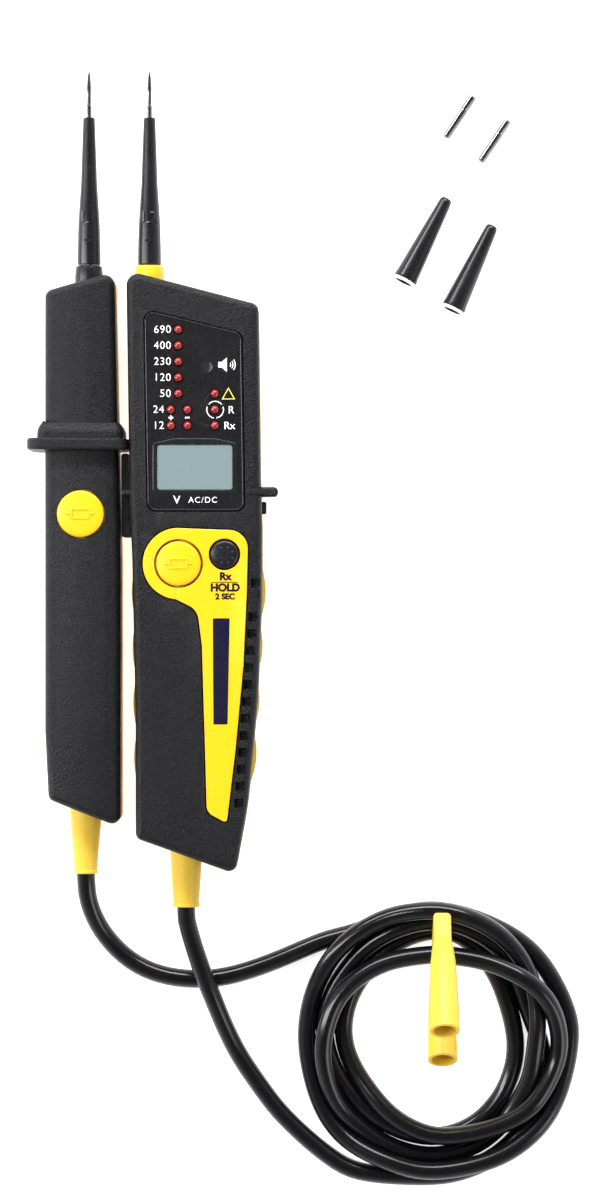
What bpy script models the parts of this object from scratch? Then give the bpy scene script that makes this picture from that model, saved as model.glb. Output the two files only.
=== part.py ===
"""Two-pole voltage and continuity tester: a main handle with display, a second handle docked
beside it, the lead between them wound into a coil, and the loose tip accessories.

Everything below is written in millimetres and turned into metres where a mesh is made.
The tester lies on its back: +Z is up, +Y runs from the leads to the probe tips, and +X runs
from the second handle to the main handle. The origin is on the flat back of the main handle.
"""
import math

import bmesh
import bpy
from mathutils import Matrix, Vector

MM = 0.001                    # one millimetre in metres
GAP = 0.3                     # clearance kept between neighbouring solids

# Housings
WALL = 2.0                    # side walls of both handles
SPLIT_Z = 12.0                # parting plane between the rear and front covers
MAIN_TOP_Z = 29.0             # front face of the main handle
MAIN_ROOF = 2.4               # thickness of its front face
PROBE_BOTTOM_Z = 2.0          # the second handle stands on its finger guard
PROBE_TOP_Z = 26.0
PROBE_ROOF = 2.2
EDGE_ROUND = 2.6              # rounding of the front and back edges

# Probes: both axes are at the same height
TIP_Z = 14.0
MAIN_TIP_X = -16.8
PROBE_TIP_X = -38.2
SLEEVE_START_Y = 104.5
SLEEVE_END_Y = 156.6
TIP_END_Y = 173.1
ROD_RADIUS = 1.0
ROD_BORE = 1.3

# Lead and its glands
LEAD_RADIUS = 3.25
GLAND_Z = 11.0
MAIN_GLAND_X = -3.9
MAIN_GLAND_END_Y = -122.8
PROBE_GLAND_X = -39.5
PROBE_GLAND_END_Y = -111.0

# Display: LED rows are one pitch apart, the lowest row nearest the screen
LED_PITCH = 5.6
LED_TOP_Y = 80.6
LED_LEFT_X = -6.1
LED_PAIR_X = (-8.7, -2.9)     # plus and minus lamps of the 24 V and 12 V rows
LED_RIGHT_X = 6.7
SCREEN_CENTRE = (-0.3, 32.4)
SCREEN_SIZE = (26.4, 15.8)
PANEL_TOP_Z = 28.7
BOARD_TOP_Z = 19.6

# Buttons
LOAD_CENTRE = (-6.0, -1.3)
LOAD_RADIUS = 7.8
HOLD_CENTRE = (10.1, 1.9)
HOLD_RADIUS = 4.95
PROBE_BUTTON_CENTRE = (-40.5, 16.2)
PROBE_BUTTON_RADIUS = 8.2

# Coil of spare lead
COIL_CENTRE = (85.6, -172.2)
COIL_OUTER = 50.2
COIL_INNER = 28.0
COIL_HEIGHT = 13.3

# Tip protector: two barrels joined at their closed ends, hooked over one turn of the coil
PROTECTOR_BASE = (86.5, -137.0, 2.6)
PROTECTOR_TILT = 34.0         # degrees that the barrels rise from the table
BARREL_SPACING = 22.0
BARREL_LENGTH = 46.0
BARREL_RADIUS = 5.2
BARREL_BORE = 4.0

# Loose pieces on the table: (narrow end, wide end) in plan
ADAPTER_PLACES = {"a": ((88.6, 151.4), (98.6, 166.4)), "b": ((101.1, 142.8), (111.1, 157.8))}
COVER_PLACES = {"a": ((88.9, 129.3), (73.4, 99.3)), "b": ((105.2, 119.6), (90.7, 89.2))}
ADAPTER_RADIUS = 1.4
ADAPTER_LENGTH = 17.6
COVER_LENGTH = 33.7
COVER_NARROW = 2.25
COVER_WIDE = 4.3

ARC_STEPS = 3                 # points per rounded corner of an outline
TURNED_STEPS = 20             # sides of a turned part

for old in list(bpy.data.objects):
    bpy.data.objects.remove(old)
parts = bpy.data.collections.new("voltage_tester")
tools = bpy.data.collections.new("cutters")
for collection in (parts, tools):
    bpy.context.scene.collection.children.link(collection)


def finish(name, colour, roughness, metallic=0.0):
    look = bpy.data.materials.new(name)
    look.use_nodes = True
    shader = look.node_tree.nodes["Principled BSDF"]
    shader.inputs["Base Color"].default_value = (*colour, 1.0)
    shader.inputs["Roughness"].default_value = roughness
    shader.inputs["Metallic"].default_value = metallic
    return look


BLACK = finish("black_plastic", (0.03, 0.03, 0.035), 0.5)
YELLOW = finish("yellow_plastic", (0.95, 0.72, 0.03), 0.4)
RUBBER = finish("black_rubber", (0.02, 0.02, 0.022), 0.6)
CABLE = finish("cable_jacket", (0.02, 0.02, 0.022), 0.3)
NICKEL = finish("nickel", (0.75, 0.75, 0.76), 0.25, 1.0)
RED = finish("red_lens", (0.7, 0.03, 0.03), 0.15)
SCREEN = finish("screen", (0.62, 0.72, 0.74), 0.2)
BOARD = finish("circuit_board", (0.03, 0.22, 0.09), 0.5)
STEEL = finish("zinc_steel", (0.6, 0.6, 0.62), 0.35, 1.0)
CELL = finish("battery_sleeve", (0.12, 0.22, 0.5), 0.35)
CERAMIC = finish("ceramic", (0.75, 0.7, 0.6), 0.6)


# ---- outlines ----

def rounded(corners, steps=ARC_STEPS):
    """Closed outline through (x, y, radius) corners, each corner an arc of its radius."""
    points = []
    for i, (x, y, radius) in enumerate(corners):
        here = Vector((x, y))
        if radius == 0:
            points.append((x, y))
            continue
        before = (Vector(corners[i - 1][:2]) - here).normalized()
        after = (Vector(corners[(i + 1) % len(corners)][:2]) - here).normalized()
        half = before.angle(after) / 2
        centre = here + (before + after).normalized() * radius / math.sin(half)
        start = here + before * radius / math.tan(half) - centre
        end = here + after * radius / math.tan(half) - centre
        turn = math.atan2(start.cross(end), start.dot(end))
        for step in range(steps + 1):
            points.append(tuple(centre + Matrix.Rotation(turn * step / steps, 2) @ start))
    return points


def circle(centre, radius, steps=TURNED_STEPS):
    angles = [2 * math.pi * i / steps for i in range(steps)]
    return [(centre[0] + radius * math.cos(a), centre[1] + radius * math.sin(a)) for a in angles]


def rectangle(x_low, x_high, y_low, y_high, radius=0.0):
    return rounded([(x_low, y_low, radius), (x_high, y_low, radius),
                    (x_high, y_high, radius), (x_low, y_high, radius)])


def inset(points, distance):
    """The outline moved inwards by distance (outwards if it is negative)."""
    ring = [Vector(p) for p in points]
    area = sum(a.cross(b) for a, b in zip(ring, ring[1:] + ring[:1]))
    side = 1 if area > 0 else -1
    moved = []
    for i, here in enumerate(ring):
        before = (here - ring[i - 1]).normalized()
        after = (ring[(i + 1) % len(ring)] - here).normalized()
        normals = [Vector((-d.y, d.x)) * side for d in (before, after)]
        moved.append(tuple(here + (normals[0] + normals[1]) * distance
                           / (1 + normals[0].dot(normals[1]))))
    return moved


# ---- solids ----

def place(name, mesh, look, is_tool=False):
    part = bpy.data.objects.new(name, mesh)
    if is_tool:
        part.hide_render = True
        part.display_type = "WIRE"
        tools.objects.link(part)
    else:
        mesh.materials.clear()
        mesh.materials.append(look)
        parts.objects.link(part)
    return part


def curve_to_part(guide, look, is_tool):
    """The mesh of a curve object, with its caps welded, in place of the curve."""
    tools.objects.link(guide)
    bpy.context.view_layer.update()
    shape = guide.evaluated_get(bpy.context.evaluated_depsgraph_get())
    mesh = bpy.data.meshes.new_from_object(shape)
    welded = bmesh.new()
    welded.from_mesh(mesh)
    bmesh.ops.remove_doubles(welded, verts=welded.verts, dist=1e-6)
    bmesh.ops.recalc_face_normals(welded, faces=welded.faces)
    welded.to_mesh(mesh)
    welded.free()
    matrix = guide.matrix_world.copy()
    name = guide.name
    bpy.data.objects.remove(guide)
    part = place(name, mesh, look, is_tool)
    part.matrix_world = matrix
    return part


def slab(name, look, outline, low, high, holes=(), upright=False, is_tool=False):
    """A flat outline extruded from low to high along Z, or along Y if it stands upright."""
    flat = bpy.data.curves.new(name, "CURVE")
    flat.dimensions = "2D"
    flat.fill_mode = "BOTH"
    flat.extrude = (high - low) / 2 * MM
    for loop in (outline, *holes):
        spline = flat.splines.new("POLY")
        spline.points.add(len(loop) - 1)
        for point, (x, y) in zip(spline.points, loop):
            point.co = (x * MM, y * MM, 0, 1)
        spline.use_cyclic_u = True
    guide = bpy.data.objects.new(name, flat)
    middle = (low + high) / 2 * MM
    if upright:
        guide.rotation_euler.x = math.radians(90)
        guide.location.y = middle
    else:
        guide.location.z = middle
    return curve_to_part(guide, look, is_tool)


def turned(name, look, profile, base, along=(0, 0, 1), steps=TURNED_STEPS, bored=False,
           is_tool=False):
    """A profile of (radius, height) points, from its top to its bottom, turned about an axis."""
    mesh = bpy.data.meshes.new(name)
    verts = [(radius * MM, 0, height * MM) for radius, height in profile]
    edges = [(i, i + 1) for i in range(len(verts) - 1)]
    if bored:
        edges.append((len(verts) - 1, 0))
    mesh.from_pydata(verts, edges, [])
    part = place(name, mesh, look, is_tool)
    part.location = Vector(base) * MM
    part.rotation_euler = Vector(along).to_track_quat("Z", "Y").to_euler()
    screw = part.modifiers.new("turn", "SCREW")
    screw.steps = screw.render_steps = steps
    screw.use_merge_vertices = True
    screw.merge_threshold = 1e-6
    return part


def cylinder(name, look, radius, low, high, centre, along=(0, 0, 1), steps=TURNED_STEPS,
             is_tool=False):
    profile = [(0, high), (radius, high), (radius, low), (0, low)]
    return turned(name, look, profile, centre, along, steps, is_tool=is_tool)


def block(name, look, low, high, is_tool=False):
    size = Vector(high) - Vector(low)
    shape = bmesh.new()
    bmesh.ops.create_cube(shape, size=MM)
    bmesh.ops.scale(shape, vec=size, verts=shape.verts)
    bmesh.ops.translate(shape, vec=(Vector(low) + size / 2) * MM, verts=shape.verts)
    mesh = bpy.data.meshes.new(name)
    shape.to_mesh(mesh)
    shape.free()
    return place(name, mesh, look, is_tool)


def boolean(part, tool, operation="DIFFERENCE"):
    change = part.modifiers.new(tool.name, "BOOLEAN")
    change.operation = operation
    change.object = tool


def cut(part, *cutters):
    for tool in cutters:
        boolean(part, tool)


def join(part, *additions):
    for tool in additions:
        boolean(part, tool, "UNION")


def round_rim(part, height, width):
    """Rounds the rim of an upright slab's face at the given local height."""
    mesh = bmesh.new()
    mesh.from_mesh(part.data)
    bmesh.ops.dissolve_limit(mesh, angle_limit=0.01, verts=mesh.verts, edges=mesh.edges)
    rim = [edge for edge in mesh.edges
           if all(abs(v.co.z - height * MM) < 1e-6 for v in edge.verts)
           and edge.calc_face_angle(0) > 1.0]
    bmesh.ops.bevel(mesh, geom=rim, offset=width * MM, segments=2, profile=0.5,
                    affect="EDGES", clamp_overlap=True)
    mesh.to_mesh(part.data)
    mesh.free()


def shell(name, look, outline, low, high, roof, roof_up):
    """Half a housing: rounded slab hollowed from its open side, the roof up or down."""
    half = (high - low) / 2
    part = slab(name, look, outline, low, high)
    round_rim(part, half if roof_up else -half, EDGE_ROUND)
    hollow = (low - 1, high - roof) if roof_up else (low + roof, high + 1)
    cut(part, slab(name + "_hollow", None, inset(outline, WALL), *hollow, is_tool=True))
    return part


# ---- outlines of the two handles and of the display ----

def grip_edge(y_top, y_bottom, x_top, x_bottom, swell, waves=4, steps=5):
    """Points down a side from y_top to y_bottom that swells outwards in equal waves."""
    total = waves * steps
    points = []
    for i in range(total + 1):
        share = i / total
        x = x_top + (x_bottom - x_top) * share + swell * abs(math.sin(math.pi * waves * share))
        points.append((x, y_top + (y_bottom - y_top) * share, 0))
    return points


MAIN_RIGHT = [(22.0, 89.6, 3.0), (22.8, 28.0, 0), (23.3, 12.0, 0), (23.2, -14.0, 0),
              (21.8, -49.0, 0), (18.5, -84.0, 0), (13.9, -110.2, 3.0)]
MAIN_LEFT = [(-21.1, -97.6, 2.5), (-21.1, -56.0, 0), (-22.3, 0.0, 0), (-23.2, 21.0, 0),
             (-24.4, 101.6, 4.0)]
MAIN_OUTLINE = rounded(MAIN_RIGHT + MAIN_LEFT)
# The rear cover swells past the front cover beside the fingers.
REAR_OUTLINE = rounded(
    MAIN_RIGHT[:3] + grip_edge(-3.0, -79.0, 23.3, 19.0, 1.5) + [(17.6, -90.0, 0)]
    + MAIN_RIGHT[-1:] + MAIN_LEFT[:1] + grip_edge(-80.0, -2.0, -21.1, -22.2, -1.1)
    + MAIN_LEFT[3:])
PROBE_OUTLINE = rounded([
    (-28.8, 101.4, 3.5), (-27.7, 49.0, 0), (-26.6, 0.0, 0), (-26.6, -94.1, 3.0),
    (-52.0, -84.2, 2.5), (-53.2, -60.0, 0), (-53.2, 94.6, 3.0)])
PANEL_OUTLINE = rounded([(16.1, 79.3, 3), (17.0, 17.2, 3), (-16.8, 17.2, 3), (-18.0, 87.6, 3)])

LOBE_RADIUS = 12.5
lobe_angles = [math.radians(95 + 170 * i / 14) for i in range(15)]
LOBE = [(LOAD_CENTRE[0] + LOBE_RADIUS * math.cos(a), LOAD_CENTRE[1] + LOBE_RADIUS * math.sin(a), 0)
        for a in lobe_angles]
INLAY_OUTLINE = rounded(LOBE + [
    (0.6, -17.5, 3.0), (2.2, -30.0, 0), (3.3, -66.0, 0), (3.9, -88.4, 2.0), (10.9, -92.2, 1.0),
    (14.0, -66.0, 0), (16.7, -37.0, 0), (17.9, -11.6, 0), (18.4, 10.2, 5.0)])


# ---- shared pieces ----

def probe_sleeve(name, tip_x):
    profile = [(2.1, SLEEVE_END_Y), (2.9, 133.0), (3.85, SLEEVE_START_Y + 14),
               (4.15, SLEEVE_START_Y), (ROD_BORE, SLEEVE_START_Y), (ROD_BORE, SLEEVE_END_Y)]
    return turned(name, RUBBER, profile, (tip_x, 0, TIP_Z), (0, 1, 0), bored=True)


def probe_rod(name, tip_x, inner_y=86.0):
    """Metal rod: thick where it leaves the sleeve, then a step down to the pointed end."""
    profile = [(0, TIP_END_Y), (0.3, TIP_END_Y - 0.4), (0.9, TIP_END_Y - 6.0),
               (0.8, TIP_END_Y - 7.5), (0.8, TIP_END_Y - 12.0), (ROD_RADIUS, TIP_END_Y - 12.3),
               (ROD_RADIUS, inner_y), (0, inner_y)]
    return turned(name, NICKEL, profile, (tip_x, 0, TIP_Z), (0, 1, 0), steps=12)


def probe_collar(name, look, tip_x, radius, inner_y=94.5):
    top = SLEEVE_START_Y - GAP
    profile = [(radius - 0.5, top), (radius, top - 0.8), (radius, inner_y),
               (ROD_BORE, inner_y), (ROD_BORE, top)]
    return turned(name, look, profile, (tip_x, 0, TIP_Z), (0, 1, 0), bored=True)


def gland(name, x, wall_y, end_y, end_radius, root_radius=5.65):
    """Tapered strain relief: flange inside the wall, cone to a small lip at its end."""
    inner = wall_y + 6.2
    profile = [(0, inner), (root_radius + 0.8, inner), (root_radius + 0.8, inner - 1.5),
               (root_radius, inner - 1.5), (root_radius, wall_y),
               (end_radius, end_y + 1.2), (end_radius + 0.25, end_y + 0.9),
               (end_radius + 0.25, end_y), (0, end_y)]
    return turned(name, YELLOW, profile, (x, 0, GLAND_Z), (0, 1, 0))


def push_button(name, look, centre, radius, crown_z, bottom_z, roof_low):
    """Crowned cap above the housing, with a wider flange under its roof."""
    flange_top = roof_low - 0.4
    profile = [(0, crown_z), (radius * 0.7, crown_z - 0.15), (radius * 0.93, crown_z - 0.6),
               (radius, crown_z - 1.3), (radius, flange_top), (radius + 0.9, flange_top),
               (radius + 0.9, bottom_z), (0, bottom_z)]
    return turned(name, look, profile, (*centre, 0), steps=24)


def key_switch(name, centre, low):
    x, y = centre
    body = block(name, BLACK, (x - 3, y - 3, low), (x + 3, y + 3, low + 2.4))
    join(body, cylinder(name + "_plunger", None, 1.6, low + 1, low + 3.2, (x, y, 0), steps=10,
                        is_tool=True))


def case_screw(name, centre, back_z):
    x, y = centre
    profile = [(0, back_z + 17.0), (0.6, back_z + 17.0), (1.0, back_z + 16.0),
               (1.0, back_z + 1.6), (2.1, back_z + 1.6), (2.1, back_z + 0.3), (0, back_z + 0.3)]
    return turned(name, STEEL, profile, (x, y, 0), steps=12)


def screw_seats(front, rear, centres, back_z, roof_low):
    """A boss under the front cover and a countersunk hole in the rear one for each screw."""
    for i, (x, y) in enumerate(centres):
        tag = f"{front.name}_{i}"
        join(front, cylinder(tag + "_boss", None, 2.5, SPLIT_Z + GAP / 2, roof_low + 0.8,
                             (x, y, 0), steps=12, is_tool=True))
        cut(front, cylinder(tag + "_pilot", None, 1.3, 0, back_z + 18.0, (x, y, 0), steps=12,
                            is_tool=True))
        profile = [(0, 40), (1.4, 40), (1.4, back_z + 1.9), (2.5, back_z + 1.9),
                   (2.5, back_z - 5), (0, back_z - 5)]
        cut(rear, turned(tag + "_seat", None, profile, (x, y, 0), steps=12, is_tool=True))


def end_holes(cover, tip_x, collar_radius, gland_x, wall_y):
    """Openings in a handle's end walls for its probe collar and its gland."""
    cut(cover, cylinder(cover.name + "_collar_hole", None, collar_radius + GAP, 90.0, 110.0,
                        (tip_x, 0, TIP_Z), (0, 1, 0), is_tool=True),
        cylinder(cover.name + "_gland_hole", None, 5.65 + GAP, wall_y - 12.0, wall_y + 4.4,
                 (gland_x, 0, GLAND_Z), (0, 1, 0), is_tool=True))


# ---- main handle ----

MAIN_WALL_Y = -103.8          # end wall where the main gland leaves
MAIN_SCREWS = [(10.0, 85.6), (-14.0, -90.0)]
COLLAR_RADIUS = 5.3
DOOR = (-13.0, 11.0, -81.0, -22.0)
CELL_X = -1.0                 # middle of the pair of cells
CELL_Z = 8.2
CELL_RADIUS = 5.2
CELL_ENDS_Y = (-76.0, -31.6)
DOCK_TOP_Z = 20.0


def main_covers():
    roof_low = MAIN_TOP_Z - MAIN_ROOF
    front = shell("main_front_cover", BLACK, MAIN_OUTLINE, SPLIT_Z + GAP / 2, MAIN_TOP_Z,
                  MAIN_ROOF, True)
    rear = shell("main_rear_cover", YELLOW, REAR_OUTLINE, 0, SPLIT_Z - GAP / 2, MAIN_ROOF, False)

    # hand guard wings, and the small lug below the right one
    join(front,
         block("wing_right", None, (21.6, 22.2, 14.0), (28.8, 25.6, 27.0), True),
         block("wing_left", None, (-26.1, 22.5, DOCK_TOP_Z + 1), (-22.3, 24.6, 28.0), True),
         block("side_lug", None, (22.2, 16.2, 14.0), (24.7, 20.6, 21.0), True))
    screw_seats(front, rear, MAIN_SCREWS, 0, roof_low)

    # seat and opening for the display panel, seat for the inlay, holes for both buttons
    cut(front,
        slab("panel_seat", None, inset(PANEL_OUTLINE, -GAP), PANEL_TOP_Z - 1.3, 40, is_tool=True),
        slab("panel_opening", None, inset(PANEL_OUTLINE, 1.6), 20, 35, is_tool=True),
        slab("inlay_seat", None, inset(INLAY_OUTLINE, -GAP), MAIN_TOP_Z - 1.4, 40, is_tool=True),
        cylinder("load_hole", None, LOAD_RADIUS + 0.45, 20, 35, (*LOAD_CENTRE, 0), is_tool=True),
        cylinder("hold_hole", None, HOLD_RADIUS + 0.4, 20, 35, (*HOLD_CENTRE, 0), is_tool=True),
        block("dock_notch", None, (-30, 38.1, 14.6), (-20.9, 43.3, 24.4), True))
    for cover in (front, rear):
        end_holes(cover, MAIN_TIP_X, COLLAR_RADIUS, MAIN_GLAND_X, MAIN_WALL_Y)
    x_low, x_high, y_low, y_high = DOOR
    cut(rear, slab("door_opening", None,
                   rectangle(x_low - GAP, x_high + GAP, y_low - GAP, y_high + GAP, 1.5),
                   -1, MAIN_ROOF + 1, is_tool=True))


def dock_latch():
    """Clip on the main handle's side that the second handle snaps against."""
    outline = rounded([(-26.3, 8.0, 1.0), (-23.2, 8.0, 0), (-23.8, 21.0, 0), (-24.0, 37.6, 0),
                       (-26.6, 37.6, 1.0)])
    slab("dock_latch", BLACK, outline, 5, DOCK_TOP_Z)


def display():
    x, y = SCREEN_CENTRE
    half_x, half_y = SCREEN_SIZE[0] / 2, SCREEN_SIZE[1] / 2
    screen = rectangle(x - half_x, x + half_x, y - half_y, y + half_y, 1.0)
    lamps = led_places()
    holes = [circle(place_xy, 1.85, 12) for place_xy in lamps.values()]
    holes += [inset(screen, -GAP), circle((4.0, 67.6), 1.9, 12)]
    slab("display_panel", BLACK, PANEL_OUTLINE, PANEL_TOP_Z - 1.0, PANEL_TOP_Z, holes)
    slab("display_window", SCREEN, screen, PANEL_TOP_Z - 1.0, PANEL_TOP_Z - 0.1)
    slab("lcd_module", SCREEN, inset(screen, -0.8), 22.0, PANEL_TOP_Z - 1.4)
    for name, place_xy in lamps.items():
        profile = [(0, 30.2), (0.85, 29.9), (1.4, 29.1), (1.5, 28.4), (1.5, 26.2), (1.9, 26.2),
                   (1.9, 25.2), (0.7, 25.2), (0.7, BOARD_TOP_Z + GAP), (0, BOARD_TOP_Z + GAP)]
        turned(name, RED, profile, (*place_xy, 0), steps=12)
    profile = [(5.0, 25.0), (5.0, BOARD_TOP_Z + GAP), (0, BOARD_TOP_Z + GAP)]
    turned("buzzer", BLACK, [(0, 22.5), (1.2, 22.5), (1.2, 25.0)] + profile, (4.0, 67.6, 0))


def led_places():
    def row(n):
        return LED_TOP_Y - n * LED_PITCH

    places = {f"led_{volts}v": (LED_LEFT_X, row(n))
              for n, volts in enumerate((690, 400, 230, 120, 50))}
    for n, volts in ((5, 24), (6, 12)):
        for sign, x in zip(("plus", "minus"), LED_PAIR_X):
            places[f"led_{volts}v_{sign}"] = (x, row(n))
    for n, name in ((4, "led_warning"), (5, "led_phase"), (6, "led_continuity")):
        places[name] = (LED_RIGHT_X, row(n))
    return places


def main_controls():
    roof_low = MAIN_TOP_Z - MAIN_ROOF
    holes = [circle(LOAD_CENTRE, LOAD_RADIUS + 0.45, 24), circle(HOLD_CENTRE, HOLD_RADIUS + 0.4)]
    slab("keypad_inlay", YELLOW, INLAY_OUTLINE, MAIN_TOP_Z - 1.1, MAIN_TOP_Z + 0.15, holes)
    push_button("main_load_button", YELLOW, LOAD_CENTRE, LOAD_RADIUS, 30.3, 25.0, roof_low)
    push_button("hold_button", BLACK, HOLD_CENTRE, HOLD_RADIUS, 30.1, 25.0, roof_low)
    board = rounded([(17.0, -14.0, 1), (17.0, 75.0, 1), (5.0, 79.0, 1), (-18.0, 84.0, 1),
                     (-18.0, -14.0, 1)])
    slab("main_circuit_board", BOARD, board, BOARD_TOP_Z - 1.6, BOARD_TOP_Z)
    key_switch("main_load_switch", LOAD_CENTRE, BOARD_TOP_Z + GAP)
    key_switch("hold_switch", HOLD_CENTRE, BOARD_TOP_Z + GAP)


def power():
    """Two AAA cells side by side between two contact plates, under a screwed door."""
    low, high = CELL_ENDS_Y
    for tag, side in (("a", -1), ("b", 1)):
        centre = (CELL_X + side * (CELL_RADIUS + 0.4), 0, CELL_Z)
        profile = [(0, high), (1.9, high), (1.9, high - 0.9), (CELL_RADIUS, high - 0.9),
                   (CELL_RADIUS, low), (0, low)]
        turned(f"battery_{tag}", CELL, profile, centre, (0, 1, 0))
    plate = rectangle(CELL_X - 11, CELL_X + 11, 3.4, 13.0, 1.0)
    slab("battery_contact_upper", STEEL, plate, high + GAP, high + 0.8, upright=True)
    slab("battery_contact_lower", STEEL, plate, low - 0.8, low - GAP, upright=True)
    x_low, x_high, y_low, y_high = DOOR
    door = slab("battery_door", YELLOW, rectangle(x_low, x_high, y_low, y_high, 1.2), 0, MAIN_ROOF)
    screw_xy = (CELL_X, y_high - 4.0)
    seat = [(0, 10), (1.4, 10), (1.4, 1.7), (2.5, 1.7), (2.5, -5), (0, -5)]
    cut(door, turned("door_screw_seat", None, seat, (*screw_xy, 0), steps=12, is_tool=True))
    screw = [(0, 9.0), (1.0, 9.0), (1.0, 1.4), (2.1, 1.4), (2.1, 0.3), (0, 0.3)]
    turned("battery_door_screw", STEEL, screw, (*screw_xy, 0), steps=12)


def main_handle():
    main_covers()
    dock_latch()
    display()
    main_controls()
    power()
    for number, centre in enumerate(MAIN_SCREWS, 1):
        case_screw(f"main_case_screw_{number}", centre, 0)
    probe_rod("main_probe_rod", MAIN_TIP_X)
    probe_sleeve("main_probe_sleeve", MAIN_TIP_X)
    probe_collar("main_probe_collar", YELLOW, MAIN_TIP_X, COLLAR_RADIUS)
    gland("main_cable_gland", MAIN_GLAND_X, MAIN_WALL_Y, MAIN_GLAND_END_Y, 4.55)


# ---- second handle ----

PROBE_WALL_Y = -89.1          # end wall where the second gland leaves
PROBE_SCREWS = [(-47.4, 85.0), (-31.8, -76.0)]
PROBE_COLLAR_RADIUS = 5.0
GUARD_Y = (38.6, 42.8)
FLARE_END_Y = 48.9


def probe_covers():
    roof_low = PROBE_TOP_Z - PROBE_ROOF
    front = shell("probe_front_cover", BLACK, PROBE_OUTLINE, SPLIT_Z + GAP / 2, PROBE_TOP_Z,
                  PROBE_ROOF, True)
    rear = shell("probe_rear_cover", YELLOW, PROBE_OUTLINE, PROBE_BOTTOM_Z, SPLIT_Z - GAP / 2,
                 PROBE_ROOF, False)
    screw_seats(front, rear, PROBE_SCREWS, PROBE_BOTTOM_Z, roof_low)
    cut(front, cylinder("probe_button_hole", None, PROBE_BUTTON_RADIUS + 0.45, 15, 35,
                        (*PROBE_BUTTON_CENTRE, 0), is_tool=True))
    for cover in (front, rear):
        end_holes(cover, PROBE_TIP_X, PROBE_COLLAR_RADIUS, PROBE_GLAND_X, PROBE_WALL_Y)


def finger_guard():
    """Ring round the second handle, with a flare above it and a tongue for the main handle."""
    flange = rectangle(-59.3, -24.1, 0, 31.0, 5.0)
    guard = slab("probe_finger_guard", BLACK, flange, *GUARD_Y, upright=True)
    flare = rectangle(-55.8, -25.5, 0.5, 27.8, 3.0)
    join(guard,
         slab("guard_flare", None, flare, GUARD_Y[1] - 0.5, FLARE_END_Y, upright=True,
              is_tool=True),
         block("guard_tongue", None, (-24.6, GUARD_Y[0] + 0.4, 15.4),
               (-21.4, GUARD_Y[1] - 0.4, 23.6), True))
    opening = rectangle(-53.6, -27.2, PROBE_BOTTOM_Z - GAP, PROBE_TOP_Z + GAP, 0.4)
    cut(guard, slab("guard_opening", None, opening, GUARD_Y[0] - 5, FLARE_END_Y + 5, upright=True,
                    is_tool=True))


def probe_handle():
    probe_covers()
    finger_guard()
    roof_low = PROBE_TOP_Z - PROBE_ROOF
    push_button("probe_load_button", YELLOW, PROBE_BUTTON_CENTRE, PROBE_BUTTON_RADIUS, 27.3,
                22.5, roof_low)
    board_top = 17.6
    slab("probe_circuit_board", BOARD, rectangle(-50.0, -30.6, 0, 60.0, 1.0), board_top - 1.6,
         board_top)
    key_switch("probe_load_switch", PROBE_BUTTON_CENTRE, board_top + GAP)
    resistor = [(0, 52.0), (1.8, 52.0), (2.2, 51.4), (2.2, 38.6), (1.8, 38.0), (0, 38.0)]
    turned("probe_series_resistor", CERAMIC, resistor, (-38.2, 0, board_top + GAP + 2.2),
           (0, 1, 0), steps=12)
    for number, centre in enumerate(PROBE_SCREWS, 1):
        case_screw(f"probe_case_screw_{number}", centre, PROBE_BOTTOM_Z)
    probe_rod("probe_rod", PROBE_TIP_X)
    probe_sleeve("probe_sleeve", PROBE_TIP_X)
    probe_collar("probe_collar", BLACK, PROBE_TIP_X, PROBE_COLLAR_RADIUS)
    gland("probe_cable_gland", PROBE_GLAND_X, PROBE_WALL_Y, PROBE_GLAND_END_Y, 3.95)


# ---- lead between the handles ----

# Route of each uncoiled stretch, from its gland to the coil, lying on the table where it can.
PROBE_LEAD_ROUTE = [
    (-39.5, -111.3, 11.0), (-39.5, -114.5, 10.9), (-38.4, -121.7, 9.3), (-34.8, -130.5, 6.3),
    (-28.7, -138.5, 4.0),
    (-21.4, -144.3, 3.4), (-12.3, -147.9, 3.3), (-2.5, -149.2, 3.3), (7.3, -148.8, 3.3),
    (16.4, -146.7, 3.3), (27.0, -143.0, 3.3), (36.8, -138.9, 3.3), (45.8, -135.4, 3.3)]
MAIN_LEAD_ROUTE = [
    (-3.9, -123.1, 11.0), (-3.9, -126.0, 11.0), (-2.9, -131.0, 10.9), (-0.6, -138.6, 10.4),
    (2.2, -146.8, 10.3),
    (5.8, -156.0, 9.0), (9.8, -166.1, 6.2), (14.7, -176.2, 4.1), (21.3, -186.1, 3.4),
    (28.6, -195.9, 3.3), (37.7, -204.9, 3.3), (46.7, -212.3, 3.3), (56.3, -217.7, 3.3)]
LEAD_STEP = 8.0               # distance between the tube's points


def smooth_route(points, step=LEAD_STEP):
    """Points about one step apart on a smooth curve through the route's points.

    A point just inside each end keeps the end faces square to the route.
    """
    route = [Vector(p) for p in points]
    route = [2 * route[0] - route[1], *route, 2 * route[-1] - route[-2]]
    dense = []
    for a, b, c, d in zip(route, route[1:], route[2:], route[3:]):
        for i in range(16):
            t = i / 16
            dense.append(0.5 * (2 * b + (c - a) * t + (2 * a - 5 * b + 4 * c - d) * t * t
                                + (3 * b - a - 3 * c + d) * t ** 3))
    dense.append(route[-2])
    kept = [dense[0]]
    for point in dense:
        if (point - kept[-1]).length >= step:
            kept.append(point)
    kept[-1] = dense[-1]
    return [kept[0], dense[1], *kept[1:-1], dense[-2], kept[-1]]


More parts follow.
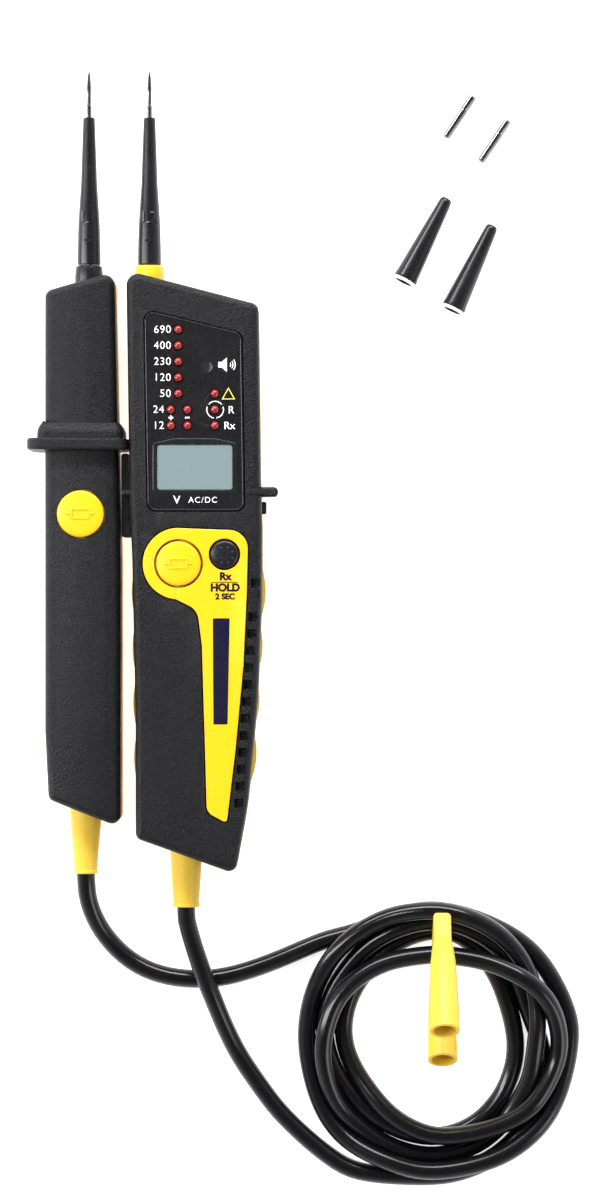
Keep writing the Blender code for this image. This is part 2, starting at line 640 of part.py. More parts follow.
def lead_tube(name, route):
    wire = bpy.data.curves.new(name, "CURVE")
    wire.dimensions = "3D"
    wire.bevel_depth = LEAD_RADIUS * MM
    wire.bevel_resolution = 2
    wire.use_fill_caps = True
    spline = wire.splines.new("POLY")
    points = smooth_route(route)
    spline.points.add(len(points) - 1)
    for point, here in zip(spline.points, points):
        point.co = (*(here * MM), 1)
    curve_to_part(bpy.data.objects.new(name, wire), CABLE, False)


def cable_coil():
    """Outer shape of the coil, with a slot through which the tip protector hangs and lifts."""
    profile = [(COIL_INNER, COIL_HEIGHT), (COIL_OUTER, COIL_HEIGHT), (COIL_OUTER, 0),
               (COIL_INNER, 0)]
    coil = turned("cable_coil", CABLE, profile, (*COIL_CENTRE, 0), steps=32, bored=True)
    x, y, _ = PROTECTOR_BASE
    cut(coil, block("coil_slot", None, (x - 6.2, y - 12, -5), (x + 6.2, y + 8, 40), True))


def lead():
    lead_tube("probe_lead", PROBE_LEAD_ROUTE)
    lead_tube("main_lead", MAIN_LEAD_ROUTE)
    cable_coil()


# ---- loose pieces ----

def tip_protector():
    """Built upright with the rear barrel on its own Z axis, then tilted down onto the table."""
    tilt = Matrix.Rotation(math.radians(90 - PROTECTOR_TILT), 4, "X")
    strap = 2.6               # half the thickness of the flat hoop that joins the barrels
    barrel = [(0, BARREL_LENGTH), (BARREL_RADIUS, BARREL_LENGTH), (BARREL_RADIUS, 16.0),
              (3.4, 11.5), (0, 11.5)]
    hoop = rounded([(-strap, 0, 2.0), (BARREL_SPACING + strap, 0, 2.0),
                    (BARREL_SPACING + strap, 13.0, 0), (BARREL_SPACING - strap, 13.0, 0),
                    (BARREL_SPACING - strap, 3.0, 1.5), (strap, 3.0, 1.5), (strap, 13.0, 0),
                    (-strap, 13.0, 0)])
    # the hoop's outline is drawn in the plane of both axes: x is the spacing, y the length
    part = slab("tip_protector", YELLOW, hoop, -strap, strap)
    stand = Matrix(((0, 0, 1, 0), (1, 0, 0, 0), (0, 1, 0, 0), (0, 0, 0, 1)))
    part.matrix_world = Matrix.Translation(Vector(PROTECTOR_BASE) * MM) @ tilt @ stand
    along = tilt @ Vector((0, 0, 1))
    across = tilt @ Vector((0, BARREL_SPACING, 0))
    for tag, base in (("rear", Vector(PROTECTOR_BASE)), ("front", Vector(PROTECTOR_BASE) + across)):
        join(part, turned("barrel_" + tag, None, barrel, base, along, is_tool=True))
        cut(part, cylinder("bore_" + tag, None, BARREL_BORE, 17.5, 60.0, base, along,
                           is_tool=True))


def lying(ends, low_radius, high_radius):
    """Start and direction of a piece that lies on the table between two points in plan."""
    start = Vector((*ends[0], low_radius))
    end = Vector((*ends[1], high_radius))
    return start, (end - start).normalized()


def loose_tips():
    for tag, ends in ADAPTER_PLACES.items():
        start, along = lying(ends, ADAPTER_RADIUS, ADAPTER_RADIUS)
        r, long = ADAPTER_RADIUS, ADAPTER_LENGTH
        profile = [(r - 0.3, long), (r, long - 0.4), (r, 0.4), (r - 0.3, 0),
                   (0.9, 0), (0.9, 9.0), (0, 9.0)]
        turned(f"tip_adapter_{tag}", NICKEL, [(0, long)] + profile, start, along, steps=12)
    for tag, ends in COVER_PLACES.items():
        start, along = lying(ends, COVER_NARROW, COVER_WIDE)
        profile = [(3.1, COVER_LENGTH), (COVER_WIDE, COVER_LENGTH), (COVER_NARROW, 1.2),
                   (COVER_NARROW - 0.6, 0), (1.2, 0), (1.2, 8.0), (2.3, 14.0)]
        turned(f"tip_cover_{tag}", RUBBER, profile, start + Vector((0, 0, 0.1)), along, steps=16,
               bored=True)


main_handle()
probe_handle()
lead()
tip_protector()
loose_tips()
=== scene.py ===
import math

import bmesh
import bpy
import numpy
from mathutils import Matrix, Vector


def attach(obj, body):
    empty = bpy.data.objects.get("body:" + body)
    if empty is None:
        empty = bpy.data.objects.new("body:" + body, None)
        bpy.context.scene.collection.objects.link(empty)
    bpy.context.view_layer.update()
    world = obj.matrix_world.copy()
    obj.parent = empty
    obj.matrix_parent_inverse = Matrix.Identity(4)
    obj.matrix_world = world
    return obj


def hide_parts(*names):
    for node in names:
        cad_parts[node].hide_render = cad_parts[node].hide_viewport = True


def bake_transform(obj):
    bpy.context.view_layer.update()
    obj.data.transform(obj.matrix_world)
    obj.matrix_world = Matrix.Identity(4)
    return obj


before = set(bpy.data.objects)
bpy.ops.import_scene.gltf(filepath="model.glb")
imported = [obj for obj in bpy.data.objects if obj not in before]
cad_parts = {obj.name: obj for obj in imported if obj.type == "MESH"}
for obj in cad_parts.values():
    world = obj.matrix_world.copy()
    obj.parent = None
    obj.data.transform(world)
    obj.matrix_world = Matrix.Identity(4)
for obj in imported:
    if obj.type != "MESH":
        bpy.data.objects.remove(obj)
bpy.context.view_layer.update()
mm = 0.001
print("frame loaded")


# camera, floor and lights

cameraSetup = {"place": (38.96, -14.04, 1300.0), "lens": 108.97, "sensor": 36.0}
floorLook = {"size": 4.0, "colour": (0.7, 0.7, 0.71, 1.0), "glow": 0.82}
skyLook = {"overhead": 0.12, "horizon": 0.95}
lampSetup = {  # name: place in metres, aim, size, watts
    "topStrip": ((0.0, 0.95, 0.75), (0.03, -0.05, 0.0), (1.6, 0.28), 24.0),
    "leftSoft": ((-0.95, 0.15, 0.85), (0.0, 0.0, 0.0), (0.25, 1.3), 15.0),
    "rightFill": ((1.1, -0.6, 0.9), (0.03, 0.0, 0.0), (0.5, 0.8), 4.0),
}


def buildStudio():
    lens = bpy.data.cameras.new("camera")
    lens.sensor_fit = "VERTICAL"
    lens.sensor_height = cameraSetup["sensor"]
    lens.lens = cameraSetup["lens"]
    lens.clip_end = 10.0
    camera = bpy.data.objects.new("camera", lens)
    camera.location = Vector(cameraSetup["place"]) * mm
    bpy.context.collection.objects.link(camera)
    bpy.context.scene.camera = camera

    bpy.ops.mesh.primitive_plane_add(size=floorLook["size"], location=(0, 0, -0.0002))
    floor = bpy.context.object
    floor.name = "floor"
    paint = bpy.data.materials.new("floorPaint")
    paint.use_nodes = True
    shader = paint.node_tree.nodes["Principled BSDF"]
    shader.inputs["Base Color"].default_value = floorLook["colour"]
    shader.inputs["Roughness"].default_value = 0.9
    shader.inputs["Specular IOR Level"].default_value = 0.1
    shader.inputs["Emission Color"].default_value = (1, 1, 1, 1)
    shader.inputs["Emission Strength"].default_value = floorLook["glow"]
    floor.data.materials.append(paint)

    for name, (place, aim, size, watts) in lampSetup.items():
        lamp = bpy.data.lights.new(name, "AREA")
        lamp.shape = "RECTANGLE"
        lamp.size, lamp.size_y = size
        lamp.energy = watts
        holder = bpy.data.objects.new(name, lamp)
        holder.location = place
        holder.rotation_euler = (Vector(aim) - Vector(place)).to_track_quat("-Z", "Y").to_euler()
        bpy.context.collection.objects.link(holder)

    world = bpy.data.worlds.new("studio")
    world.use_nodes = True
    nodes, links = world.node_tree.nodes, world.node_tree.links
    height = nodes.new("ShaderNodeSeparateXYZ")
    links.new(nodes.new("ShaderNodeTexCoord").outputs["Generated"], height.inputs[0])
    sky = nodes.new("ShaderNodeMapRange")  # bright round the sides, dim overhead
    sky.inputs["From Min"].default_value = 0.25
    sky.inputs["From Max"].default_value = 0.9
    sky.inputs["To Min"].default_value = skyLook["horizon"]
    sky.inputs["To Max"].default_value = skyLook["overhead"]
    links.new(height.outputs["Z"], sky.inputs["Value"])
    links.new(sky.outputs["Result"], nodes["Background"].inputs["Strength"])
    nodes["Background"].inputs["Color"].default_value = (1, 1, 1, 1)
    bpy.context.scene.world = world
    bpy.context.scene.view_settings.view_transform = "Standard"


buildStudio()
print("camera and lights set")


# selecting, cutting and finishing

def focusOn(piece):
    if bpy.context.object and bpy.context.object.mode != "OBJECT":
        bpy.ops.object.mode_set(mode="OBJECT")
    bpy.ops.object.select_all(action="DESELECT")
    piece.select_set(True)
    bpy.context.view_layer.objects.active = piece


def pick(piece, kind, chosen):  # edit mode with the chosen verts, edges or faces selected
    focusOn(piece)
    bpy.ops.object.mode_set(mode="EDIT")
    bpy.ops.mesh.select_mode(type=kind)
    bpy.ops.mesh.select_all(action="DESELECT")
    shape = bmesh.from_edit_mesh(piece.data)
    for part in {"VERT": shape.verts, "EDGE": shape.edges, "FACE": shape.faces}[kind]:
        if chosen(part):
            part.select_set(True)
    shape.select_flush_mode()
    bmesh.update_edit_mesh(piece.data)


def done():
    bpy.ops.object.mode_set(mode="OBJECT")


def middle(part):  # middle of an edge or face, in millimetres
    return sum((v.co for v in part.verts), Vector()) / len(part.verts) / mm


def applyModifier(piece, kind, **settings):
    focusOn(piece)
    modifier = piece.modifiers.new(kind.lower(), kind)
    for key, value in settings.items():
        setattr(modifier, key, value)
    bpy.ops.object.modifier_apply(modifier=modifier.name)


def cutWith(piece, *tools, operation="DIFFERENCE"):
    for tool in tools:
        applyModifier(piece, "BOOLEAN", object=tool, operation=operation, solver="EXACT")
        bpy.data.objects.remove(tool)


def mergeInto(piece, *others):
    focusOn(piece)
    for other in others:
        other.select_set(True)
    bpy.ops.object.join()
    return piece


def roundEdges(piece, chosen, width, segments=4):
    pick(piece, "EDGE", chosen)
    bpy.ops.mesh.bevel(offset=width * mm, segments=segments, affect="EDGES", clamp_overlap=True)
    done()


def roundRim(piece, z, width, segments=3):  # the sharp edges that lie at one height
    roundEdges(piece, lambda e: all(abs(v.co.z / mm - z) < 0.01 for v in e.verts)
               and e.calc_face_angle(0) > 0.8, width, segments)


def softenAll(piece, width, segments=3, angle=40):
    applyModifier(piece, "BEVEL", width=width * mm, segments=segments, limit_method="ANGLE",
                  angle_limit=math.radians(angle), harden_normals=False)


def sliceGrid(piece, step, low, high):  # cuts the long faces up, so that they shade evenly
    pick(piece, "VERT", lambda v: True)
    for axis in ((1, 0, 0), (0, 1, 0)):
        for n in range(int((high - low) / step) + 1):
            bpy.ops.mesh.select_all(action="SELECT")
            bpy.ops.mesh.bisect(plane_co=Vector(axis) * (low + n * step) * mm, plane_no=axis)
    done()


def tidyMesh(piece):
    pick(piece, "VERT", lambda v: True)
    bpy.ops.mesh.remove_doubles(threshold=0.000002)
    bpy.ops.mesh.normals_make_consistent(inside=False)
    done()


def finishPiece(piece, name, body, look, nodes=(), angle=38):
    focusOn(piece)
    piece.name = name
    bpy.ops.object.transform_apply(location=True, rotation=True, scale=True)
    piece.data.materials.clear()
    piece.data.materials.append(look)
    bpy.ops.object.shade_smooth_by_angle(angle=math.radians(angle))
    applyModifier(piece, "WEIGHTED_NORMAL", keep_sharp=True, weight=100)
    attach(piece, body)
    if nodes:
        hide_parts(*nodes)
    return piece


# outlines, plates and turned shapes, all in millimetres

def roundedOutline(corners, steps=8):
    points = []
    for i, (x, y, radius) in enumerate(corners):
        here = Vector((x, y))
        if radius == 0:
            points.append(here)
            continue
        before = (Vector(corners[i - 1][:2]) - here).normalized()
        after = (Vector(corners[(i + 1) % len(corners)][:2]) - here).normalized()
        half = before.angle(after) / 2
        centre = here + (before + after).normalized() * radius / math.sin(half)
        start = here + before * radius / math.tan(half) - centre
        end = here + after * radius / math.tan(half) - centre
        turn = math.atan2(start.cross(end), start.dot(end))
        points += [centre + Matrix.Rotation(turn * n / steps, 2) @ start for n in range(steps + 1)]
    return points


def box2d(left, right, low, high, radius=0.0):
    return roundedOutline([(left, low, radius), (right, low, radius),
                           (right, high, radius), (left, high, radius)])


def grown(points, amount):  # the outline moved outwards, or inwards if amount is negative
    ring = [Vector(p) for p in points]
    side = 1 if sum(a.cross(b) for a, b in zip(ring, ring[1:] + ring[:1])) > 0 else -1
    moved = []
    for i, here in enumerate(ring):
        before = (here - ring[i - 1]).normalized()
        after = (ring[(i + 1) % len(ring)] - here).normalized()
        first, second = (Vector((d.y, -d.x)) * side for d in (before, after))
        moved.append(here + (first + second) * amount / (1 + first.dot(second)))
    return moved


def wire(name, points, closed):
    line = bpy.data.curves.new(name, "CURVE")
    line.dimensions = "3D"
    spline = line.splines.new("POLY")
    spline.points.add(len(points) - 1)
    for knot, place in zip(spline.points, points):
        knot.co = (*(Vector(place) * mm), 1)
    spline.use_cyclic_u = closed
    piece = bpy.data.objects.new(name, line)
    bpy.context.collection.objects.link(piece)
    return piece


def plate(name, outline, low, high):
    piece = wire(name, [(p[0], p[1], low) for p in outline], True)
    focusOn(piece)
    bpy.ops.object.convert(target="MESH")
    pick(piece, "VERT", lambda v: True)
    bpy.ops.mesh.edge_face_add()
    bpy.ops.mesh.extrude_region_move(TRANSFORM_OT_translate={"value": (0, 0, (high - low) * mm)})
    bpy.ops.mesh.select_all(action="SELECT")
    bpy.ops.mesh.normals_make_consistent(inside=False)
    done()
    return piece


def lathe(name, profile, base, along=(0, 0, 1), steps=64, closed=False):
    piece = wire(name, [(r, 0, h) for r, h in profile], closed)
    focusOn(piece)
    bpy.ops.object.convert(target="MESH")
    pick(piece, "VERT", lambda v: True)
    bpy.ops.mesh.spin(steps=steps, angle=2 * math.pi, center=(0, 0, 0), axis=(0, 0, 1))
    bpy.ops.mesh.select_all(action="SELECT")
    bpy.ops.mesh.remove_doubles(threshold=0.000003)
    bpy.ops.mesh.normals_make_consistent(inside=False)
    done()
    turn = Vector((0, 0, 1)).rotation_difference(Vector(along).normalized()).to_matrix().to_4x4()
    piece.matrix_world = Matrix.Translation(Vector(base) * mm) @ turn
    bpy.ops.object.transform_apply(location=True, rotation=True, scale=True)
    return piece


def rod(name, radius, start, end, steps=48):
    start, end = Vector(start), Vector(end)
    profile = [(0, 0), (radius, 0), (radius, (end - start).length), (0, (end - start).length)]
    return lathe(name, profile, start, end - start, steps)


def block(name, low, high):
    return plate(name, [(low[0], low[1]), (high[0], low[1]), (high[0], high[1]),
                        (low[0], high[1])], low[2], high[2])


# shader groups and finishes

def newGroup(name, inputs, outputs):
    group = bpy.data.node_groups.new(name, "ShaderNodeTree")
    for label, kind, value in inputs:
        socket = group.interface.new_socket(label, in_out="INPUT", socket_type=kind)
        if value is not None:
            socket.default_value = value
    for label, kind in outputs:
        group.interface.new_socket(label, in_out="OUTPUT", socket_type=kind)
    nodes = group.nodes
    return group, nodes, group.links, nodes.new("NodeGroupInput"), nodes.new("NodeGroupOutput")


def rangeNode(nodes, links, source, fromLow, fromHigh, toLow, toHigh):
    node = nodes.new("ShaderNodeMapRange")
    for socket, value in zip(("From Min", "From Max", "To Min", "To Max"),
                             (fromLow, fromHigh, toLow, toHigh)):
        if isinstance(value, float):
            node.inputs[socket].default_value = value
        else:
            links.new(value, node.inputs[socket])
    links.new(source, node.inputs["Value"])
    return node.outputs["Result"]


def grainGroup():  # fine moulded texture: a height for bump and a mask of bright specks
    group, nodes, links, given, result = newGroup(
        "mouldedGrain", [("Vector", "NodeSocketVector", None), ("Size", "NodeSocketFloat", 1500.0)],
        [("Height", "NodeSocketFloat"), ("Specks", "NodeSocketFloat")])
    noise = nodes.new("ShaderNodeTexNoise")
    noise.inputs["Detail"].default_value = 3.0
    noise.inputs["Roughness"].default_value = 0.6
    cells = nodes.new("ShaderNodeTexVoronoi")
    for texture in (noise, cells):
        links.new(given.outputs["Vector"], texture.inputs["Vector"])
        links.new(given.outputs["Size"], texture.inputs["Scale"])
    blend = nodes.new("ShaderNodeMath")
    blend.operation = "MULTIPLY_ADD"
    links.new(noise.outputs["Fac"], blend.inputs[0])
    blend.inputs[1].default_value = 0.7
    links.new(cells.outputs["Distance"], blend.inputs[2])
    links.new(blend.outputs[0], result.inputs["Height"])
    links.new(rangeNode(nodes, links, noise.outputs["Fac"], 0.5, 0.72, 0.0, 1.0),
              result.inputs["Specks"])
    return group


def wearGroup():  # paler edges where hands and tables rub
    group, nodes, links, given, result = newGroup(
        "edgeWear", [("Vector", "NodeSocketVector", None), ("Colour", "NodeSocketColor", None),
                     ("Worn Colour", "NodeSocketColor", None), ("Amount", "NodeSocketFloat", 0.5)],
        [("Colour", "NodeSocketColor"), ("Mask", "NodeSocketFloat")])
    shape = nodes.new("ShaderNodeNewGeometry")
    edges = rangeNode(nodes, links, shape.outputs["Pointiness"], 0.52, 0.62, 0.0, 1.0)
    patches = nodes.new("ShaderNodeTexNoise")
    patches.inputs["Scale"].default_value = 220.0
    links.new(given.outputs["Vector"], patches.inputs["Vector"])
    broken = nodes.new("ShaderNodeMath")
    broken.operation = "MULTIPLY"
    links.new(edges, broken.inputs[0])
    links.new(patches.outputs["Fac"], broken.inputs[1])
    mask = nodes.new("ShaderNodeMath")
    mask.operation = "MULTIPLY"
    links.new(broken.outputs[0], mask.inputs[0])
    links.new(given.outputs["Amount"], mask.inputs[1])
    mix = nodes.new("ShaderNodeMix")
    mix.data_type = "RGBA"
    links.new(mask.outputs[0], mix.inputs["Factor"])
    links.new(given.outputs["Colour"], mix.inputs["A"])
    links.new(given.outputs["Worn Colour"], mix.inputs["B"])
    links.new(mix.outputs["Result"], result.inputs["Colour"])
    links.new(mask.outputs[0], result.inputs["Mask"])
    return group


def handledGroup():  # slow changes of gloss where the surface has been handled
    group, nodes, links, given, result = newGroup(
        "handledGloss", [("Vector", "NodeSocketVector", None), ("Low", "NodeSocketFloat", 0.4),
                         ("High", "NodeSocketFloat", 0.5), ("Size", "NodeSocketFloat", 60.0)],
        [("Roughness", "NodeSocketFloat"), ("Patches", "NodeSocketFloat")])
    noise = nodes.new("ShaderNodeTexNoise")
    noise.inputs["Detail"].default_value = 4.0
    links.new(given.outputs["Vector"], noise.inputs["Vector"])
    links.new(given.outputs["Size"], noise.inputs["Scale"])
    links.new(rangeNode(nodes, links, noise.outputs["Fac"], 0.3, 0.7, given.outputs["Low"],
                        given.outputs["High"]), result.inputs["Roughness"])
    links.new(noise.outputs["Fac"], result.inputs["Patches"])
    return group


grain, wear, handled = grainGroup(), wearGroup(), handledGroup()


def makeLook(name, colour, specks, gloss, grainSize, bump, wornColour=None, wearAmount=0.5,
             **sockets):
    look = bpy.data.materials.new(name)
    look.use_nodes = True
    nodes, links = look.node_tree.nodes, look.node_tree.links
    shader = nodes["Principled BSDF"]
    place = nodes.new("ShaderNodeTexCoord").outputs["Object"]

    def placed(group, **values):
        node = nodes.new("ShaderNodeGroup")
        node.node_tree = group
        links.new(place, node.inputs["Vector"])
        for key, value in values.items():
            node.inputs[key].default_value = value
        return node

    texture = placed(grain, Size=grainSize)
    tint = nodes.new("ShaderNodeMix")
    tint.data_type = "RGBA"
    tint.inputs["A"].default_value = (*colour, 1)
    tint.inputs["B"].default_value = (*specks, 1)
    links.new(texture.outputs["Specks"], tint.inputs["Factor"])
    edges = placed(wear, Amount=wearAmount)
    edges.inputs["Worn Colour"].default_value = (*(wornColour or specks), 1)
    links.new(tint.outputs["Result"], edges.inputs["Colour"])
    links.new(edges.outputs["Colour"], shader.inputs["Base Color"])
    smudges = placed(handled, Low=gloss[0], High=gloss[1])
    links.new(smudges.outputs["Roughness"], shader.inputs["Roughness"])
    relief = nodes.new("ShaderNodeBump")
    relief.inputs["Strength"].default_value = bump[0]
    relief.inputs["Distance"].default_value = bump[1] * mm
    links.new(texture.outputs["Height"], relief.inputs["Height"])
    links.new(relief.outputs["Normal"], shader.inputs["Normal"])
    for key, value in sockets.items():
        shader.inputs[key.replace("_", " ")].default_value = value
    return look


looks = {
    "overmould": makeLook("softOvermould", (0.0055, 0.0055, 0.0065), (0.02, 0.02, 0.023), (0.34, 0.46),
        1700.0, (0.85, 0.2), (0.04, 0.04, 0.043), 0.5, Specular_IOR_Level=0.22),
    "blackPlastic": makeLook("blackPlastic", (0.007, 0.007, 0.0085), (0.02, 0.02, 0.023), (0.26, 0.36),
        2400.0, (0.3, 0.06), (0.04, 0.04, 0.045), 0.5, Specular_IOR_Level=0.35),
    "glossBlack": makeLook("glossBlack", (0.006, 0.006, 0.0075), (0.016, 0.016, 0.018), (0.2, 0.3),
        1600.0, (0.12, 0.05), (0.04, 0.04, 0.044), 0.4, Specular_IOR_Level=0.4),
    "yellow": makeLook("yellowPlastic", (0.90, 0.50, 0.004), (0.94, 0.56, 0.012), (0.3, 0.42), 1500.0,
        (0.12, 0.05), (1.0, 0.78, 0.12), 0.5),
    "yellowRubber": makeLook("yellowRubber", (0.80, 0.51, 0.035), (0.83, 0.56, 0.05), (0.36, 0.5),
        900.0, (0.2, 0.08), (1.0, 0.8, 0.2), 0.5),
    "panel": makeLook("panelPlastic", (0.006, 0.006, 0.0072), (0.016, 0.016, 0.018), (0.2, 0.3), 1900.0,
        (0.3, 0.1), (0.05, 0.05, 0.054), 0.5, Specular_IOR_Level=0.42),
    "bead": makeLook("polishedRim", (0.008, 0.008, 0.0095), (0.012, 0.012, 0.014), (0.16, 0.26), 900.0,
        (0.1, 0.05), (0.05, 0.05, 0.054), 0.4),
    "cable": makeLook("cableJacket", (0.004, 0.004, 0.005), (0.008, 0.008, 0.01), (0.14, 0.22), 600.0,
        (0.08, 0.05), (0.012, 0.012, 0.014), 0.2, Specular_IOR_Level=0.4),
    "nickel": makeLook("nickel", (0.26, 0.26, 0.265), (0.3, 0.3, 0.305), (0.08, 0.15), 800.0,
        (0.05, 0.02), (0.7, 0.7, 0.7), 0.4, Metallic=1.0),
    "steel": makeLook("zincSteel", (0.55, 0.55, 0.57), (0.7, 0.7, 0.72), (0.28, 0.4), 700.0,
        (0.15, 0.05), (0.8, 0.8, 0.82), 0.5, Metallic=1.0),
    "red": makeLook("redLens", (0.24, 0.003, 0.005), (0.32, 0.008, 0.008), (0.14, 0.2), 500.0,
        (0.02, 0.02), (0.5, 0.03, 0.03), 0.2, Coat_Weight=0.8, Coat_Roughness=0.08),
    "screen": makeLook("screenGlass", (0.175, 0.235, 0.245), (0.182, 0.243, 0.253), (0.1, 0.14), 300.0,
        (0.01, 0.01), (0.4, 0.5, 0.5), 0.3),
    # white for printed marks, also used as painted highlight on the tip covers' rims and on the buzzer
    "whiteInkAndHighlight": makeLook("whiteInkAndHighlight", (0.9, 0.9, 0.92), (0.98, 0.98, 0.98), (0.4, 0.5), 2000.0,
        (0.05, 0.02)),
    "navyInk": makeLook("navyInk", (0.006, 0.006, 0.024), (0.012, 0.012, 0.034), (0.3, 0.45), 2000.0,
        (0.05, 0.02), Specular_IOR_Level=0.15),
    "yellowInk": makeLook("yellowInk", (0.85, 0.78, 0.1), (0.9, 0.85, 0.2), (0.4, 0.5), 2000.0,
        (0.05, 0.02)),
    "board": makeLook("circuitBoard", (0.02, 0.16, 0.06), (0.03, 0.22, 0.09), (0.3, 0.45), 700.0,
        (0.2, 0.05), (0.2, 0.3, 0.1), 0.5),
    "cell": makeLook("batterySleeve", (0.06, 0.14, 0.42), (0.08, 0.18, 0.5), (0.25, 0.35), 400.0,
        (0.1, 0.04), (0.3, 0.4, 0.7), 0.4),
    "ceramic": makeLook("ceramic", (0.72, 0.66, 0.55), (0.8, 0.75, 0.66), (0.5, 0.65), 900.0,
        (0.3, 0.08)),
}
print("finishes made:", len(looks))


# the lead: out of one handle, round the coil and back to the other

leadSetup = {"radius": 3.25, "step": 3.0, "sides": 6, "touching": 6.45, "coilCentre": (85.6, -172.2)}
probeEnd = [(-39.5, -106.5, 11.0), (-39.5, -111.3, 11.0), (-39.3, -115.5, 10.8), (-38.4, -121.7, 9.3),
            (-34.8, -130.5, 6.3), (-28.7, -138.5, 4.0), (-21.4, -144.3, 3.3), (-12.3, -147.9, 3.3),
            (-2.5, -149.2, 3.3), (7.3, -148.8, 3.3), (16.4, -146.7, 3.3), (27.0, -143.0, 3.3),
            (36.8, -138.9, 3.3), (45.8, -135.2, 3.3)]
mainEnd = [(56.3, -217.7, 3.3), (46.7, -212.3, 3.3), (37.7, -204.9, 3.3), (28.6, -195.9, 3.3),
           (21.3, -186.1, 3.3), (14.7, -176.2, 4.1), (9.8, -166.1, 6.2), (5.8, -156.0, 9.0),
           (2.2, -146.8, 10.3), (-0.6, -138.6, 10.4), (-2.9, -131.0, 10.9), (-3.8, -127.0, 11.0),
           (-3.9, -123.1, 11.0), (-3.9, -118.5, 11.0)]
# clockwise degrees from the far side, radius and height of each turn
coilLay = [
    (-36, 49, 3.3), (-18, 47.4, 3.3), (0, 47.2, 3.3), (28, 46, 3.3), (50, 46.9, 3.3),
    (75, 47.3, 3.3), (90, 46.6, 3.3), (112, 44.6, 4), (135, 44.6, 7), (156, 44.5, 8.9),
    (184, 44.8, 8.9), (206, 44.4, 7.5), (228, 45.6, 4), (247, 45.9, 3.3), (270, 46.5, 3.3),
    (290, 47.6, 4.5), (308, 48.8, 8.5), (322, 48.9, 9.8), (337, 48.3, 10.5), (350, 47.5, 13),
    (360, 47.2, 14.3), (373, 45.6, 13), (388, 43.6, 10.5), (404, 41.7, 9.7), (420, 39.9, 9.7),
    (436, 37, 9.7), (452, 35, 9.7), (473, 35.7, 8.5), (492, 36, 6), (505, 37, 4.5),
    (521, 38.8, 3.3), (544, 40.1, 3.3), (568, 39.6, 3.3), (593, 39.1, 3.6), (612, 39.7, 7),
    (630, 40.4, 9.7), (650, 39.6, 9.7), (665, 38, 9.7), (681, 35.7, 10), (695, 33.8, 11),
    (720, 32.5, 11.8), (731, 32.2, 11.8), (748, 34, 11.6), (767, 36.8, 12.5), (785, 39.4, 9.5),
    (804, 41.6, 7.5), (819, 41.4, 7.5), (841, 38.9, 9.5), (854, 36.7, 9.7), (868, 34.4, 9.7),
    (885, 32.8, 9.7), (907, 32.3, 9.7), (937, 31.6, 7), (968, 32, 3.4), (995, 34.7, 3.3),
    (1020, 37.2, 3.3), (1041, 38.4, 3.3), (1061, 39.8, 3.3), (1080, 40.8, 3.3), (1092, 40.2, 3.3),
    (1108, 37, 3.3), (1125, 33.5, 3.3), (1140, 30.6, 3.3), (1158, 28.8, 3.3), (1175, 28.5, 3.3),
    (1192, 28.7, 3.3), (1212, 30, 3.3), (1235, 32, 3.3), (1260, 33.5, 3.3), (1285, 34.4, 3.3),
    (1310, 36.5, 3.3), (1332, 38.8, 3.3), (1355, 40.4, 3.3), (1375, 40.4, 3.4), (1392, 40.4, 4.2),
    (1406, 41.8, 6), (1418, 43.3, 8.2), (1430, 43.9, 8.9), (1445, 43.9, 8.9), (1460, 42.4, 8.6),
    (1473, 40.1, 7), (1486, 37, 4.8), (1502, 34.5, 3.5), (1518, 35, 3.3), (1533, 38, 3.3),
    (1550, 41.4, 3.3), (1567, 44.4, 3.3), (1590, 45.4, 3.3), (1612, 46.8, 3.3), (1632, 48.4, 3.3)]
protectorSetup = {"base": (86.5, -137.0, 2.6), "tilt": 34.0, "spacing": 22.0, "length": 46.0,
                  "radius": 5.2, "bore": 4.0, "strap": 2.6, "bar": 3.0, "legs": 13.0}


def protectorPoint(across, up, aside=0.0):  # a point of the tip protector, across and along its legs
    tilt = math.radians(90 - protectorSetup["tilt"])
    x, y, z = protectorSetup["base"]
    return Vector((x + aside, y + across * math.cos(tilt) - up * math.sin(tilt),
                   z + across * math.sin(tilt) + up * math.cos(tilt)))


def smoothLine(points, step):
    route = [Vector(p) for p in points]
    route = [2 * route[0] - route[1], *route, 2 * route[-1] - route[-2]]
    dense = []
    for a, b, c, d in zip(route, route[1:], route[2:], route[3:]):
        for i in range(12):
            t = i / 12
            dense.append(0.5 * (2 * b + (c - a) * t + (2 * a - 5 * b + 4 * c - d) * t * t
                                + (3 * b - a - 3 * c + d) * t ** 3))
    dense.append(route[-2])
    travelled = [0.0]
    for a, b in zip(dense, dense[1:]):
        travelled.append(travelled[-1] + (b - a).length)
    count = round(travelled[-1] / step)
    wanted = numpy.linspace(0, travelled[-1], count + 1)
    return numpy.array([numpy.interp(wanted, travelled, [p[axis] for p in dense])
                        for axis in range(3)]).T


def leadLine():
    cx, cy = leadSetup["coilCentre"]
    turns = [(cx + r * math.sin(math.radians(a)), cy + r * math.cos(math.radians(a)), z)
             for a, r, z in coilLay]
    return smoothLine(probeEnd + turns + mainEnd, leadSetup["step"])


# how far apart points count as separate turns, shares of each push, and the protector's thicknesses
settleSetup = {"rounds": 260, "apart": 5, "turnPush": 0.3, "barPush": 0.8, "room": 0.15,
               "farthest": 0.6, "calm": 0.02, "calmUntil": 0.8, "even": 0.3, "unkink": 0.2,
               "offTable": 0.02, "bar": 1.9, "leg": 2.7, "barrel": 5.2}


